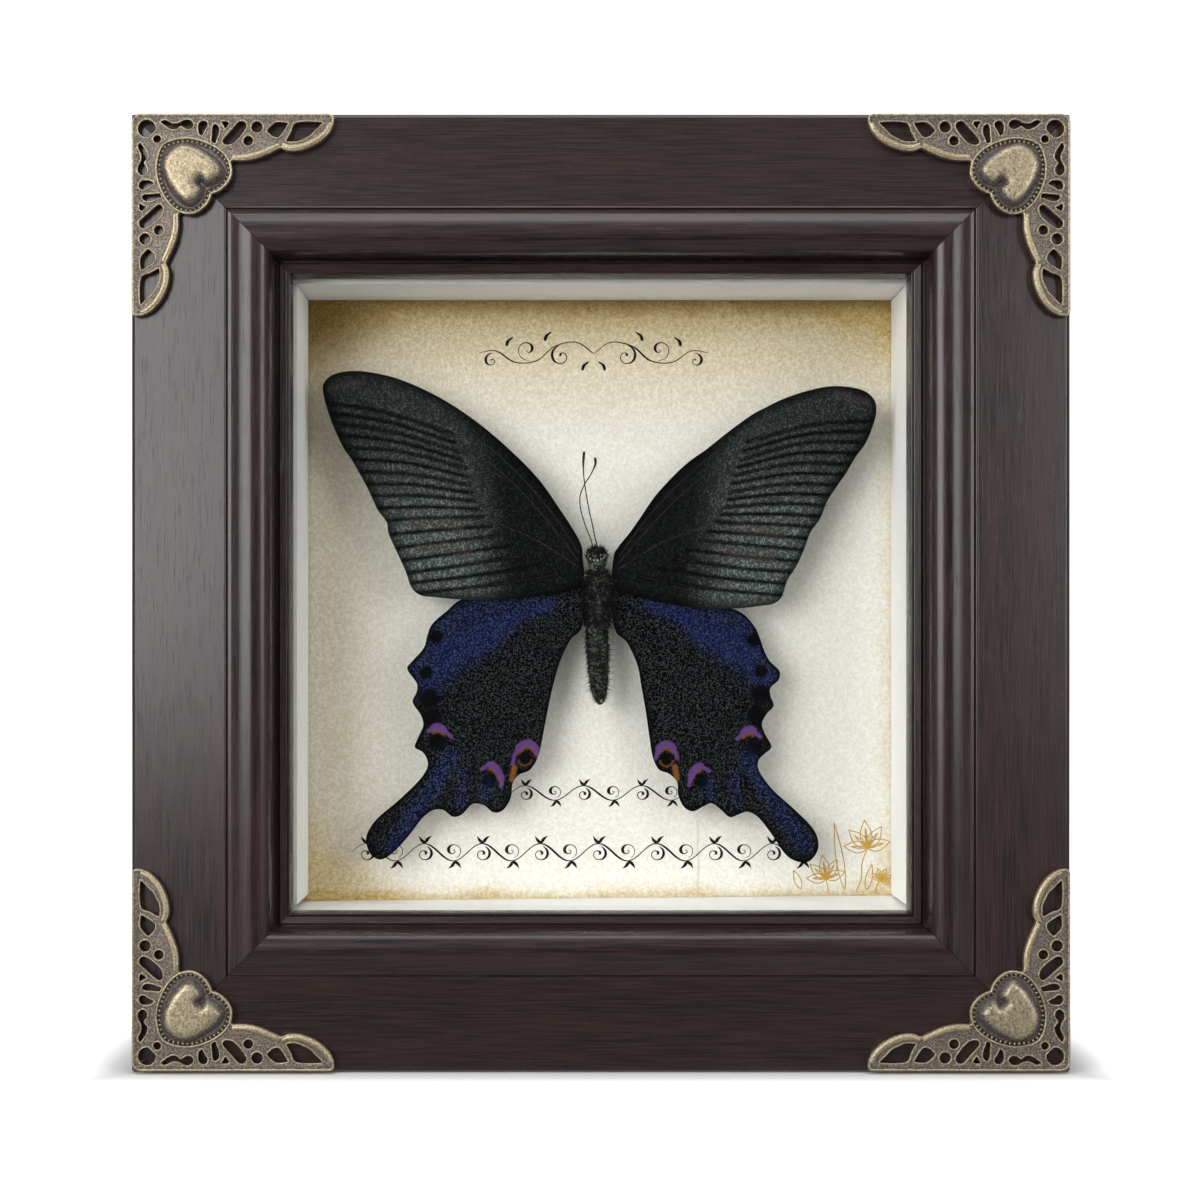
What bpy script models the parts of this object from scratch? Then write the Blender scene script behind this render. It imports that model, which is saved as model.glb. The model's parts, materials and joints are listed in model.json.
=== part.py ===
"""A swallowtail butterfly mounted in a small glazed box frame with cast corner brackets.

Millimetres are used for every size below and turned into metres when a point is placed. The frame
stands upright on its bottom rail and faces -Y: x runs to the viewer's right, z runs up from the
underside, and a depth is measured back from the flat front band of the rails.
"""

import math

import bmesh
import bpy
from mathutils import Vector

METRES = 0.001
GAP = 0.3

FRAME_WIDTH = 200.0
FRAME_HEIGHT = 204.0
RAIL_DEPTH = 40.0
LIP_WIDTH = 33.1
LIP_BACK = 11.0
REBATE_EDGE = 27.0

GLASS_DEPTHS = (11.3, 13.0)
LINER_DEPTHS = (13.3, 33.0)
PAPER_DEPTHS = (33.3, 33.7)
BOARD_DEPTHS = (34.0, 35.5)
PANEL_DEPTHS = (35.8, 38.0)
POINT_DEPTHS = (38.3, 38.8)
FITTING_CLEARANCE = 0.4

BRACKET_INSET = 0.5
BRACKET_BACK = 0.3
BRACKET_PLATE = 1.2
HEART_HEIGHT = 3.2

HANGER_THICK = 0.7
HANGER_BOW = 1.0
HANGER_HALF = 22.5
HANGER_TOP = 194.0
HANGER_HEIGHT = 8.0
NAIL_OFFSET = 19.5
NAIL_RADIUS = 0.8
NAIL_HEAD_RADIUS = 1.7
NAIL_HEAD_THICK = 0.7
NAIL_LENGTH = 9.0

FOREWING_DEPTHS = (24.2, 24.6)
HINDWING_DEPTHS = (25.2, 25.6)
BODY_DEPTH = 25.2
PAD_RADIUS = 2.6

FRONT_MOST = -(BRACKET_BACK + HEART_HEIGHT)
BACK_MOST = RAIL_DEPTH + GAP + HANGER_THICK + HANGER_BOW
MIDDLE_DEPTH = (FRONT_MOST + BACK_MOST) / 2


def clear_scene():
    for old in list(bpy.data.objects):
        bpy.data.objects.remove(old, do_unlink=True)


def at(x, depth, z):
    """The point in metres at x across, a depth behind the front band and z above the underside."""
    return Vector((x, depth - MIDDLE_DEPTH, z)) * METRES


def material(name, colour, roughness, metallic=0.0, transmission=0.0):
    made = bpy.data.materials.new(name)
    made.use_nodes = True
    shader = made.node_tree.nodes["Principled BSDF"]
    shader.inputs["Base Color"].default_value = (*colour, 1.0)
    shader.inputs["Roughness"].default_value = roughness
    shader.inputs["Metallic"].default_value = metallic
    shader.inputs["Transmission Weight"].default_value = transmission
    made.diffuse_color = (*colour, 1.0)
    return made


def add_object(name, mesh_data, finish):
    """Turns the faces of a closed bmesh outwards and puts it in the scene as an object."""
    bmesh.ops.recalc_face_normals(mesh_data, faces=mesh_data.faces[:])
    if mesh_data.calc_volume(signed=True) < 0:
        bmesh.ops.reverse_faces(mesh_data, faces=mesh_data.faces[:])
    mesh = bpy.data.meshes.new(name)
    mesh_data.to_mesh(mesh)
    mesh_data.free()
    made = bpy.data.objects.new(name, mesh)
    made.data.materials.append(finish)
    bpy.context.scene.collection.objects.link(made)
    return made


def hexahedron(name, low_face, high_face, finish):
    """A box from its four corners at one depth and the matching four at another."""
    bm = bmesh.new()
    front = [bm.verts.new(point) for point in low_face]
    back = [bm.verts.new(point) for point in high_face]
    bm.faces.new(front)
    bm.faces.new(back)
    for i in range(4):
        j = (i + 1) % 4
        bm.faces.new((front[i], front[j], back[j], back[i]))
    bmesh.ops.triangulate(bm, faces=bm.faces[:])
    return add_object(name, bm, finish)


def panel(name, x_range, depths, z_range, finish):
    def face(depth):
        (x0, x1), (z0, z1) = x_range, z_range
        return [at(x0, depth, z0), at(x1, depth, z0), at(x1, depth, z1), at(x0, depth, z1)]

    return hexahedron(name, face(depths[0]), face(depths[1]), finish)


def pierced_plate(outline, holes, low, high, place, dome=None):
    """A flat plate with holes. A dome is (outline, centre, [(scale, height), ...]) raised on its top."""
    bm = bmesh.new()
    walls = [outline] + holes
    for level, height in ((0, low), (1, high)):
        loops = walls + ([dome[0]] if dome and level else [])
        edges = []
        for loop in loops:
            ring = [bm.verts.new((u, v, height)) for u, v in loop]
            edges += [bm.edges.new((ring[i - 1], ring[i])) for i in range(len(ring))]
        bmesh.ops.triangle_fill(bm, use_beauty=True, edges=edges)
    bm.verts.ensure_lookup_table()
    count = sum(len(loop) for loop in walls)
    start = 0
    for loop in walls:
        for i in range(len(loop)):
            j = (i + 1) % len(loop)
            a, b = bm.verts[start + i], bm.verts[start + j]
            bm.faces.new((a, b, bm.verts[count + start + j], bm.verts[count + start + i]))
        start += len(loop)
    if dome:
        shape, (cu, cv), rings = dome
        ring = [bm.verts[2 * count + i] for i in range(len(shape))]
        for scale, height in rings:
            points = [(cu + (u - cu) * scale, cv + (v - cv) * scale) for u, v in shape]
            inner = [bm.verts.new((u, v, height)) for u, v in points]
            for i in range(len(ring)):
                bm.faces.new((ring[i - 1], ring[i], inner[i], inner[i - 1]))
            ring = inner
        bm.faces.new(ring)
    bmesh.ops.triangulate(bm, faces=bm.faces[:])
    for vert in bm.verts:
        vert.co = place(*vert.co)
    return bm


def circle(u, v, radius, count):
    turns = [2 * math.pi * i / count for i in range(count)]
    return [(u + radius * math.cos(a), v + radius * math.sin(a)) for a in turns]


def rod(name, start, axis, sections, sides, finish):
    """A turned piece: sections are (distance along axis, radius)."""
    axis = Vector(axis).normalized()
    across = axis.orthogonal().normalized()
    up = axis.cross(across)
    bm = bmesh.new()
    ring = None
    for distance, radius in sections:
        points = circle(0.0, 0.0, radius, sides)
        base = start + axis * distance * METRES
        new = [bm.verts.new(base + (across * a + up * b) * METRES) for a, b in points]
        if ring is None:
            bm.faces.new(new)
        else:
            for i in range(sides):
                bm.faces.new((ring[i - 1], ring[i], new[i], new[i - 1]))
        ring = new
    bm.faces.new(ring)
    return add_object(name, bm, finish)


# Rails ------------------------------------------------------------------------------------------

RAIL_PROFILE = [
    (0.0, RAIL_DEPTH),
    (0.0, 0.9),
    (0.3, 0.25),
    (0.9, 0.0),
    (20.35, 0.0),
    (20.55, 0.5),
    (20.85, 0.5),
    (21.0, 0.1),
    (21.8, -0.35),
    (23.2, -1.05),
    (24.6, -1.48),
    (26.0, -1.6),
    (27.4, -1.3),
    (28.6, -0.5),
    (29.5, 0.8),
    (30.1, 2.6),
    (30.35, 5.6),
    (30.8, 5.6),
    (30.95, 5.0),
    (32.5, 5.3),
    (32.8, 4.9),
    (LIP_WIDTH, 5.3),
    (LIP_WIDTH, LIP_BACK),
    (REBATE_EDGE, LIP_BACK),
    (REBATE_EDGE, RAIL_DEPTH),
]

HALF_WIDTH = FRAME_WIDTH / 2
MID_HEIGHT = FRAME_HEIGHT / 2
SIDES = {
    "bottom": (HALF_WIDTH, lambda along, w, depth: at(along, depth, w)),
    "top": (HALF_WIDTH, lambda along, w, depth: at(along, depth, FRAME_HEIGHT - w)),
    "left": (MID_HEIGHT, lambda along, w, depth: at(w - HALF_WIDTH, depth, MID_HEIGHT + along)),
    "right": (MID_HEIGHT, lambda along, w, depth: at(HALF_WIDTH - w, depth, MID_HEIGHT + along)),
}
MITRE_INSET = GAP / math.sqrt(2)


def rail(side, finish):
    """A length of the moulding, cut at 45 degrees at both ends."""
    half, place = SIDES[side]
    bm = bmesh.new()
    ends = []
    for sign in (-1, 1):
        reach = [(half - w - MITRE_INSET) * sign for w, _ in RAIL_PROFILE]
        ends.append([bm.verts.new(place(a, w, d)) for a, (w, d) in zip(reach, RAIL_PROFILE)])
    for i in range(len(RAIL_PROFILE)):
        bm.faces.new((ends[0][i - 1], ends[0][i], ends[1][i], ends[1][i - 1]))
    for end in ends:
        bm.faces.new(end)
    return add_object("rail_" + side, bm, finish)


def cut(target, cutter):
    cutter.hide_render = True
    cutter.display_type = "WIRE"
    boolean = target.modifiers.new("cut_" + cutter.name, "BOOLEAN")
    boolean.operation = "DIFFERENCE"
    boolean.solver = "EXACT"
    boolean.object = cutter


# Framer's points --------------------------------------------------------------------------------

POINT_ROOT = 22.5
POINT_END = 34.0
POINT_HALF_WIDTH = 3.0
POINT_PLACES = {"top": 45.0, "bottom": 45.0, "left": 46.0, "right": 46.0}


def framers_point(side, name, along, rail_object, finish):
    """A flat steel tongue driven into the rebate wall, with the slot that it makes in the wood."""
    place = SIDES[side][1]

    def corners(w_range, half, depth):
        w0, w1 = w_range
        plan = [(along - half, w0), (along + half, w0), (along + half, w1), (along - half, w1)]
        return [place(a, w, depth) for a, w in plan]

    tongue = (POINT_ROOT, POINT_END)
    slot = (POINT_ROOT - GAP, REBATE_EDGE + 1.0)
    low, high = POINT_DEPTHS
    half = POINT_HALF_WIDTH
    hexahedron(name, corners(tongue, half, low), corners(tongue, half, high), finish)
    slot_low = corners(slot, half + GAP, low - GAP)
    slot_high = corners(slot, half + GAP, high + GAP)
    cut(rail_object, hexahedron("slot_for_" + name, slot_low, slot_high, finish))


# Hanger -----------------------------------------------------------------------------------------

TOOTH_PITCH = 2.0
TOOTH_DEPTH = 1.2
TEETH = 13


def hanger(finish):
    """A strip with a row of teeth along its lower edge, bowed back in the middle to take a nail."""
    half = HANGER_HALF
    low = HANGER_TOP - HANGER_HEIGHT
    first = -TEETH * TOOTH_PITCH / 2
    outline = [(half, HANGER_TOP), (-half, HANGER_TOP), (-half, low), (first, low)]
    for i in range(TEETH):
        outline.append((first + (i + 0.5) * TOOTH_PITCH, low + TOOTH_DEPTH))
        outline.append((first + (i + 1) * TOOTH_PITCH, low))
    outline.append((half, low))
    centre = HANGER_TOP - HANGER_HEIGHT / 2
    holes = [circle(s * NAIL_OFFSET, centre, NAIL_RADIUS + GAP, 10) for s in (-1, 1)]

    def place(x, z, height):
        flat_end = NAIL_OFFSET - 3.0
        bow = HANGER_BOW * max(0.0, 1 - (x / flat_end) ** 2)
        return at(x, RAIL_DEPTH + GAP + height + bow, z)

    add_object("sawtooth_hanger", pierced_plate(outline, holes, 0.0, HANGER_THICK, place), finish)


def hanger_nail(name, x, rail_object, finish):
    z = HANGER_TOP - HANGER_HEIGHT / 2
    head = RAIL_DEPTH + HANGER_THICK + 2 * GAP
    tip = head - NAIL_LENGTH
    start = at(x, head + NAIL_HEAD_THICK, z)
    sections = [
        (0.0, NAIL_HEAD_RADIUS * 0.7),
        (0.2, NAIL_HEAD_RADIUS),
        (NAIL_HEAD_THICK, NAIL_HEAD_RADIUS),
        (NAIL_HEAD_THICK, NAIL_RADIUS),
        (NAIL_HEAD_THICK + NAIL_LENGTH - 1.5, NAIL_RADIUS),
        (NAIL_HEAD_THICK + NAIL_LENGTH, 0.15),
    ]
    rod(name, start, (0, -1, 0), sections, 10, finish)
    hole = [(0.0, NAIL_RADIUS + GAP), (NAIL_LENGTH + 2.0, NAIL_RADIUS + GAP)]
    drill = rod("hole_for_" + name, at(x, tip - GAP, z), (0, 1, 0), hole, 10, finish)
    cut(rail_object, drill)


# Corner brackets --------------------------------------------------------------------------------
# Plan points are (u, v) from the bracket's outer corner: u along one edge, v along the other. Each
# half is drawn below the diagonal u = v and mirrored across it.

BRACKET_EDGE = [
    (42.6, 0.0),
    (42.9, 0.5),
    (42.8, 2.3),
    (41.9, 4.0),
    (40.2, 5.7),
    (38.2, 6.8),
    (35.8, 7.8),
    (33.5, 7.9),
    (31.4, 7.3),
    (29.2, 8.4),
    (26.8, 9.4),
    (24.4, 9.9),
    (21.3, 10.0),
    (21.6, 11.8),
    (20.9, 14.0),
    (19.4, 15.9),
]
BRACKET_CORNER = [(0.45, 0.45), (1.5, 0.0)]
BRACKET_NOTCH = (17.0, 17.0)

ARM_HOLES = [
    [(6.0, 2.0), (7.3, 1.2), (9.7, 1.7), (12.1, 1.1), (13.3, 2.0), (12.4, 3.2), (9.7, 2.8), (7.0, 3.5)],
    [(14.0, 3.0), (14.5, 1.5), (15.7, 1.4), (16.1, 3.0), (15.6, 4.5), (14.5, 4.5)],
    [(16.7, 4.2), (17.2, 2.2), (18.2, 2.1), (18.7, 4.2), (18.2, 6.2), (17.3, 6.1)],
    [(19.0, 2.9), (19.2, 1.5), (20.9, 1.6)],
    [(19.8, 6.6), (20.4, 4.2), (22.4, 2.0), (23.6, 2.0), (23.4, 4.4), (21.6, 6.2)],
    [(28.5, 3.5), (30.5, 1.8), (33.1, 1.9), (31.6, 4.9), (29.4, 5.0)],
    [(34.9, 1.8), (40.4, 1.8), (39.6, 3.2), (38.0, 4.6), (35.4, 5.7), (33.1, 5.7)],
]
ROUND_ARM_HOLES = [(26.6, 2.9, 1.25), (24.9, 6.3, 1.2)]
CORNER_HOLE = (5.6, 5.6, 0.9)
CORNER_DISC = (3.2, 3.2, 2.1)

HEART_CENTRE = (12.8, 12.8)
HEART_TIP = (7.9, 7.9)
HEART_NOTCH = (14.3, 14.3)
HEART_HALF = [
    (9.4, 7.1),
    (11.4, 6.6),
    (14.0, 6.9),
    (16.6, 7.8),
    (18.6, 9.5),
    (19.7, 11.8),
    (19.2, 13.8),
    (17.6, 15.0),
    (15.8, 15.1),
]
HEART_RINGS = [(0.86, 0.62), (0.58, 0.9), (0.26, 1.0)]


def mirrored(points):
    return [(v, u) for u, v in points]


def half_disc(u, v, radius, count):
    """A disc with its inner side, towards the heart, cut off by a chord."""
    first, last = math.radians(95), math.radians(355)
    turns = [first + (last - first) * i / (count - 1) for i in range(count)]
    return [(u + radius * math.cos(a), v + radius * math.sin(a)) for a in turns]


def bracket_shapes():
    lower = BRACKET_CORNER[1:] + BRACKET_EDGE
    upper = [BRACKET_NOTCH] + mirrored(lower)[::-1] + BRACKET_CORNER[:1]
    outline = lower + upper
    heart_low = [HEART_TIP] + HEART_HALF
    heart = heart_low + [HEART_NOTCH] + mirrored(HEART_HALF)[::-1]
    holes = [half_disc(*CORNER_DISC, 7), circle(*CORNER_HOLE, 6)]
    for hole in ARM_HOLES + [circle(*size, 7) for size in ROUND_ARM_HOLES]:
        holes += [hole, mirrored(hole)]
    return outline, holes, heart


def corner_bracket(name, side_x, side_z, finish):
    outline, holes, heart = bracket_shapes()
    top = BRACKET_PLATE
    rise = HEART_HEIGHT - top
    rings = [(scale, top + rise * share) for scale, share in HEART_RINGS]

    def place(u, v, height):
        x = side_x * (HALF_WIDTH - BRACKET_INSET - u)
        z = MID_HEIGHT + side_z * (MID_HEIGHT - BRACKET_INSET - v)
        return at(x, -BRACKET_BACK - height, z)

    dome = (heart, HEART_CENTRE, rings)
    add_object(name, pierced_plate(outline, holes, 0.0, top, place, dome), finish)


# Liner ------------------------------------------------------------------------------------------
# The strips were cut by hand: the bottom one rises a little at its right-hand back edge.

OPENING = (REBATE_EDGE + FITTING_CLEARANCE, FRAME_HEIGHT - REBATE_EDGE - FITTING_CLEARANCE)
OPENING_HALF = HALF_WIDTH - REBATE_EDGE - FITTING_CLEARANCE
LINER_LEFT = -66.4
LINER_RIGHT = 67.2
LINER_TOP = 170.2
LINER_BOTTOM_FRONT = 32.9
LINER_BOTTOM_BACK_LEFT = 32.4
LINER_BOTTOM_BACK_RIGHT = 33.8


def liners(finish):
    front, back = LINER_DEPTHS
    half = OPENING_HALF
    bottom, top = OPENING
    panel("liner_top", (-half, half), LINER_DEPTHS, (LINER_TOP, top), finish)

    def strip(depth, left, right):
        plan = [(-half, bottom), (half, bottom), (half, right), (-half, left)]
        return [at(x, depth, z) for x, z in plan]

    low_face = strip(front, LINER_BOTTOM_FRONT, LINER_BOTTOM_FRONT)
    high_face = strip(back, LINER_BOTTOM_BACK_LEFT, LINER_BOTTOM_BACK_RIGHT)
    hexahedron("liner_bottom", low_face, high_face, finish)
    side_bottom = LINER_BOTTOM_BACK_RIGHT + GAP
    heights = (side_bottom, LINER_TOP - GAP)
    panel("liner_left", (-half, LINER_LEFT), LINER_DEPTHS, heights, finish)
    panel("liner_right", (LINER_RIGHT, half), LINER_DEPTHS, heights, finish)


# Butterfly --------------------------------------------------------------------------------------
# Wing outlines are (x, z), starting at the root and going round by the leading edge.

FOREWING_LEFT = [
    (-3.6, 110.8), (-4.0, 113.8), (-6.2, 117.8), (-9.4, 122.6), (-12.8, 127.5), (-16.9, 132.0),
    (-22.8, 137.5), (-29.1, 142.5), (-35.9, 146.8), (-43.2, 150.2), (-49.0, 151.9), (-54.9, 152.6),
    (-59.5, 151.8), (-61.8, 149.6), (-61.6, 146.3), (-59.8, 140.7), (-57.3, 135.3), (-55.3, 132.4),
    (-52.3, 127.0), (-50.6, 123.4), (-49.6, 121.3), (-47.6, 118.6), (-47.3, 116.3), (-45.4, 112.0),
    (-43.4, 107.6), (-42.2, 104.2), (-40.2, 102.3), (-36.6, 101.8), (-31.0, 101.3), (-22.0, 101.2),
    (-12.0, 102.4), (-3.9, 104.4),
]
FOREWING_RIGHT = [
    (3.3, 110.6), (4.3, 113.0), (6.7, 116.0), (9.0, 119.2), (12.4, 124.2), (16.4, 128.7),
    (20.4, 132.4), (24.1, 135.0), (28.6, 138.6), (34.2, 142.7), (37.6, 144.5), (41.3, 146.3),
    (47.0, 148.2), (52.9, 149.2), (58.8, 148.4), (61.6, 146.4), (62.3, 143.8), (61.5, 140.2),
    (59.8, 136.2), (57.6, 133.2), (55.6, 129.8), (53.4, 126.6), (51.2, 123.2), (49.8, 119.6),
    (47.6, 116.4), (46.2, 112.7), (44.5, 108.9), (42.4, 105.6), (41.2, 102.0), (39.4, 100.4),
    (36.0, 99.8), (31.0, 99.3), (22.0, 99.4), (12.0, 101.2), (3.7, 104.0),
]
HINDWING_LEFT = [
    (-3.6, 102.2), (-12.0, 103.2), (-23.0, 102.8), (-30.6, 101.5), (-34.5, 98.5), (-37.5, 95.8),
    (-38.6, 93.2), (-39.4, 90.4), (-42.1, 87.3), (-43.1, 85.6), (-41.0, 82.5), (-41.0, 80.5),
    (-41.9, 78.2), (-40.1, 75.4), (-39.5, 73.0), (-40.6, 70.4), (-41.4, 68.1), (-39.7, 67.0),
    (-38.6, 65.2), (-38.7, 63.2), (-40.8, 60.2), (-45.2, 56.0), (-49.8, 52.1), (-52.0, 48.9),
    (-52.3, 46.4), (-51.2, 43.8), (-48.9, 42.8), (-46.1, 44.5), (-42.7, 48.2), (-39.6, 52.2),
    (-37.2, 53.9), (-35.0, 53.9), (-32.9, 52.4), (-30.8, 52.9), (-28.5, 55.2), (-25.9, 55.0),
    (-23.8, 53.4), (-21.6, 53.8), (-19.8, 56.6), (-19.4, 59.8), (-18.0, 61.8), (-15.4, 63.0),
    (-13.5, 66.3), (-12.3, 72.0), (-10.8, 79.6), (-8.9, 86.8), (-6.4, 92.2), (-3.7, 95.4),
]
HINDWING_RIGHT = [
    (3.3, 102.0), (12.0, 102.6), (23.0, 101.0), (31.4, 98.8), (35.0, 95.4), (36.4, 92.4),
    (37.3, 89.8), (38.6, 87.4), (40.7, 85.2), (40.5, 83.2), (38.7, 81.4), (38.7, 79.6),
    (39.4, 77.4), (37.8, 75.5), (36.8, 73.4), (37.4, 71.2), (38.9, 68.2), (37.4, 66.6),
    (36.0, 65.0), (36.2, 62.6), (39.3, 58.4), (43.7, 54.4), (48.0, 50.1), (49.4, 47.0),
    (49.1, 44.4), (47.2, 42.3), (44.5, 42.4), (42.0, 44.0), (39.0, 48.4), (36.0, 52.2),
    (33.5, 53.5), (31.3, 52.8), (29.5, 52.3), (27.4, 54.1), (25.4, 55.4), (23.4, 54.6),
    (21.3, 53.6), (19.2, 54.6), (17.9, 57.4), (17.7, 60.2), (15.8, 62.1), (13.6, 63.0),
    (12.2, 65.8), (11.4, 70.6), (10.6, 76.2), (9.6, 81.8), (8.7, 86.6), (6.4, 91.6), (3.5, 95.0),
]
BODY_SECTIONS = [
    (77.8, 0.3, 0.5, 0.6),
    (78.6, 0.3, 1.2, 1.3),
    (81.5, 0.1, 1.9, 1.9),
    (86.0, -0.1, 2.3, 2.3),
    (91.0, -0.3, 2.5, 2.5),
    (95.4, -0.4, 2.4, 2.5),
    (97.6, -0.3, 2.7, 2.9),
    (101.5, -0.2, 3.0, 3.2),
    (105.5, -0.2, 2.9, 3.0),
    (107.6, -0.2, 2.2, 2.1),
    (109.2, -0.2, 2.8, 2.2),
    (111.0, -0.2, 2.3, 1.7),
    (111.8, -0.2, 1.0, 0.8),
]
BODY_SIDES = 12
ANTENNA_RADIUS = 0.25
ANTENNA_CLUB = 2.0
ANTENNA_LEFT = [
    (-1.3, 24.9, 113.0), (-1.9, 24.9, 115.2), (-2.8, 24.8, 117.4), (-4.0, 24.6, 121.3),
    (-4.2, 24.5, 124.4), (-3.3, 24.4, 127.0), (-1.9, 24.3, 129.2), (-0.8, 24.2, 131.6),
    (-0.8, 24.1, 133.2),
]
ANTENNA_RIGHT = [
    (-0.2, 23.9, 112.6), (-0.9, 23.8, 115.4), (-1.5, 23.7, 118.4), (-2.3, 23.5, 121.9),
    (-3.2, 23.2, 127.4), (-3.5, 22.9, 131.2), (-3.3, 22.7, 134.4),
]


def wing(name, outline, depths, finish):
    """A wing lies flat, a thin sheet at its own depth: the forewing in front of the hindwing."""
    low, high = depths
    add_object(name, pierced_plate(outline, [], low, high, lambda x, z, d: at(x, d, z)), finish)


def insect_body(finish):
    """Abdomen, thorax and head as one loft of oval sections: (height, x, half width, half depth)."""
    bm = bmesh.new()
    ring = None
    for z, x, half_width, half_depth in BODY_SECTIONS:
        plan = circle(0.0, 0.0, 1.0, BODY_SIDES)
        points = [at(x + half_width * a, BODY_DEPTH + half_depth * b, z) for a, b in plan]
        new = [bm.verts.new(point) for point in points]
        if ring is None:
            bm.faces.new(new)
        else:
            for i in range(BODY_SIDES):
                bm.faces.new((ring[i - 1], ring[i], new[i], new[i - 1]))
        ring = new
    bm.faces.new(ring)
    add_object("insect_body", bm, finish).data.shade_smooth()


def antenna(name, route, finish):
    """A thin stalk that thickens into a club over its last few millimetres."""
    curve = bpy.data.curves.new(name, "CURVE")
    curve.dimensions = "3D"
    curve.bevel_depth = ANTENNA_RADIUS * METRES
    curve.bevel_resolution = 1
    curve.use_fill_caps = True
    spline = curve.splines.new("POLY")
    spline.points.add(len(route) - 1)
    for point, place, left in zip(spline.points, route, range(len(route), 0, -1)):
        point.co = (*at(*place), 1.0)
        point.radius = ANTENNA_CLUB if left == 2 else 1.0
    made = bpy.data.objects.new(name, curve)
    curve.materials.append(finish)
    bpy.context.scene.collection.objects.link(made)


def mounting_pad(finish):
    """A little block of foam between the thorax and the paper."""
    top = BODY_DEPTH + 3.2 + GAP
    length = LINER_DEPTHS[1] - top
    sections = [(0.0, PAD_RADIUS), (length, PAD_RADIUS)]
    rod("mounting_pad", at(-0.2, top, 101.5), (0, 1, 0), sections, 12, finish)


# Assembly ---------------------------------------------------------------------------------------


def build():
    clear_scene()
    wood = material("mahogany_stained_wood", (0.06, 0.025, 0.018), 0.32)
    bronze = material("antique_bronze", (0.46, 0.36, 0.22), 0.38, metallic=0.9)
    glass = material("clear_glass", (1.0, 1.0, 1.0), 0.02, transmission=1.0)
    white_board = material("white_liner_board", (0.82, 0.81, 0.78), 0.7)
    paper = material("aged_paper", (0.66, 0.56, 0.38), 0.85)
    card = material("grey_board", (0.55, 0.52, 0.46), 0.9)
    hardboard = material("brown_hardboard", (0.28, 0.17, 0.09), 0.75)
    steel = material("bright_steel", (0.6, 0.6, 0.6), 0.35, metallic=1.0)
    foam = material("white_foam", (0.85, 0.84, 0.8), 0.9)
    scales = material("black_wing_scales", (0.02, 0.022, 0.02), 0.7)
    dark_blue = material("blue_black_wing_scales", (0.012, 0.018, 0.03), 0.65)
    hairs = material("black_body_hairs", (0.02, 0.018, 0.015), 0.85)

    rails = {side: rail(side, wood) for side in SIDES}
    for side, offset in POINT_PLACES.items():
        names = ("a", "b")
        for letter, along in zip(names, (-offset, offset)):
            framers_point(side, f"framers_point_{side}_{letter}", along, rails[side], steel)

    hanger(steel)
    hanger_nail("hanger_nail_left", -NAIL_OFFSET, rails["top"], steel)
    hanger_nail("hanger_nail_right", NAIL_OFFSET, rails["top"], steel)

    for height_name, side_z in (("top", 1), ("bottom", -1)):
        for side_name, side_x in (("left", -1), ("right", 1)):
            corner_bracket(f"corner_bracket_{height_name}_{side_name}", side_x, side_z, bronze)

    full_width = (-OPENING_HALF, OPENING_HALF)
    panel("glass_pane", full_width, GLASS_DEPTHS, OPENING, glass)
    liners(white_board)
    panel("backing_paper", full_width, PAPER_DEPTHS, OPENING, paper)
    panel("mount_board", full_width, BOARD_DEPTHS, OPENING, card)
    panel("back_panel", full_width, PANEL_DEPTHS, OPENING, hardboard)
    mounting_pad(foam)

    wing("forewing_left", FOREWING_LEFT, FOREWING_DEPTHS, scales)
    wing("forewing_right", FOREWING_RIGHT, FOREWING_DEPTHS, scales)
    wing("hindwing_left", HINDWING_LEFT, HINDWING_DEPTHS, dark_blue)
    wing("hindwing_right", HINDWING_RIGHT, HINDWING_DEPTHS, dark_blue)
    insect_body(hairs)
    antenna("antenna_left", ANTENNA_LEFT, hairs)
    antenna("antenna_right", ANTENNA_RIGHT, hairs)


build()
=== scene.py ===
"""Looks of the framed swallowtail: moulded mahogany rails, pierced bronze corners, aged paper and insect.

Sizes are in millimetres. A place is given as x to the viewer's right, a depth behind the flat front
band of the rails, and z up from the underside, and at() turns it into metres.
"""

import json
import math

import bmesh
import bpy
import numpy as np
from mathutils import Matrix, Vector, geometry

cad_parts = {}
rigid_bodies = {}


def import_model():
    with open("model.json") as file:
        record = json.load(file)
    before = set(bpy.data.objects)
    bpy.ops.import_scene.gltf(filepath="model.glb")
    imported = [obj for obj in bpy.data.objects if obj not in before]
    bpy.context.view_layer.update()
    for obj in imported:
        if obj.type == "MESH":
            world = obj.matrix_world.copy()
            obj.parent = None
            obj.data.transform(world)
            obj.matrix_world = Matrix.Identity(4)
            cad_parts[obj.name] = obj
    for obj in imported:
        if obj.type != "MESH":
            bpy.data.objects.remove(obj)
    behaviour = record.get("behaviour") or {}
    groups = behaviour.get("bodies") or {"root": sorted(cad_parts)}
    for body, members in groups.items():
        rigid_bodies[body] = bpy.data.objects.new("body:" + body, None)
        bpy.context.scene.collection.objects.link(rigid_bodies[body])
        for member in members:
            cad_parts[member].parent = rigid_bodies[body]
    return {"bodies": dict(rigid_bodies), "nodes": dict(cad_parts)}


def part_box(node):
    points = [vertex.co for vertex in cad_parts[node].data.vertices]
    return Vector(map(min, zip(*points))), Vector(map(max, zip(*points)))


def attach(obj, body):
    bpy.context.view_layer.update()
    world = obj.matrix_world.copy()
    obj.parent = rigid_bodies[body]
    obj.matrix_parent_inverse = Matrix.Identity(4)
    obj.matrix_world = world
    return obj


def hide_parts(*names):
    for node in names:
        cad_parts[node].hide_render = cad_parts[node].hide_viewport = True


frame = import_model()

for leftover in set(bpy.data.objects) - set(frame["nodes"].values()) - set(frame["bodies"].values()):
    bpy.data.objects.remove(leftover, do_unlink=True)
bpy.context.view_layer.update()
METRES = 0.001
SEED = 7


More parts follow.
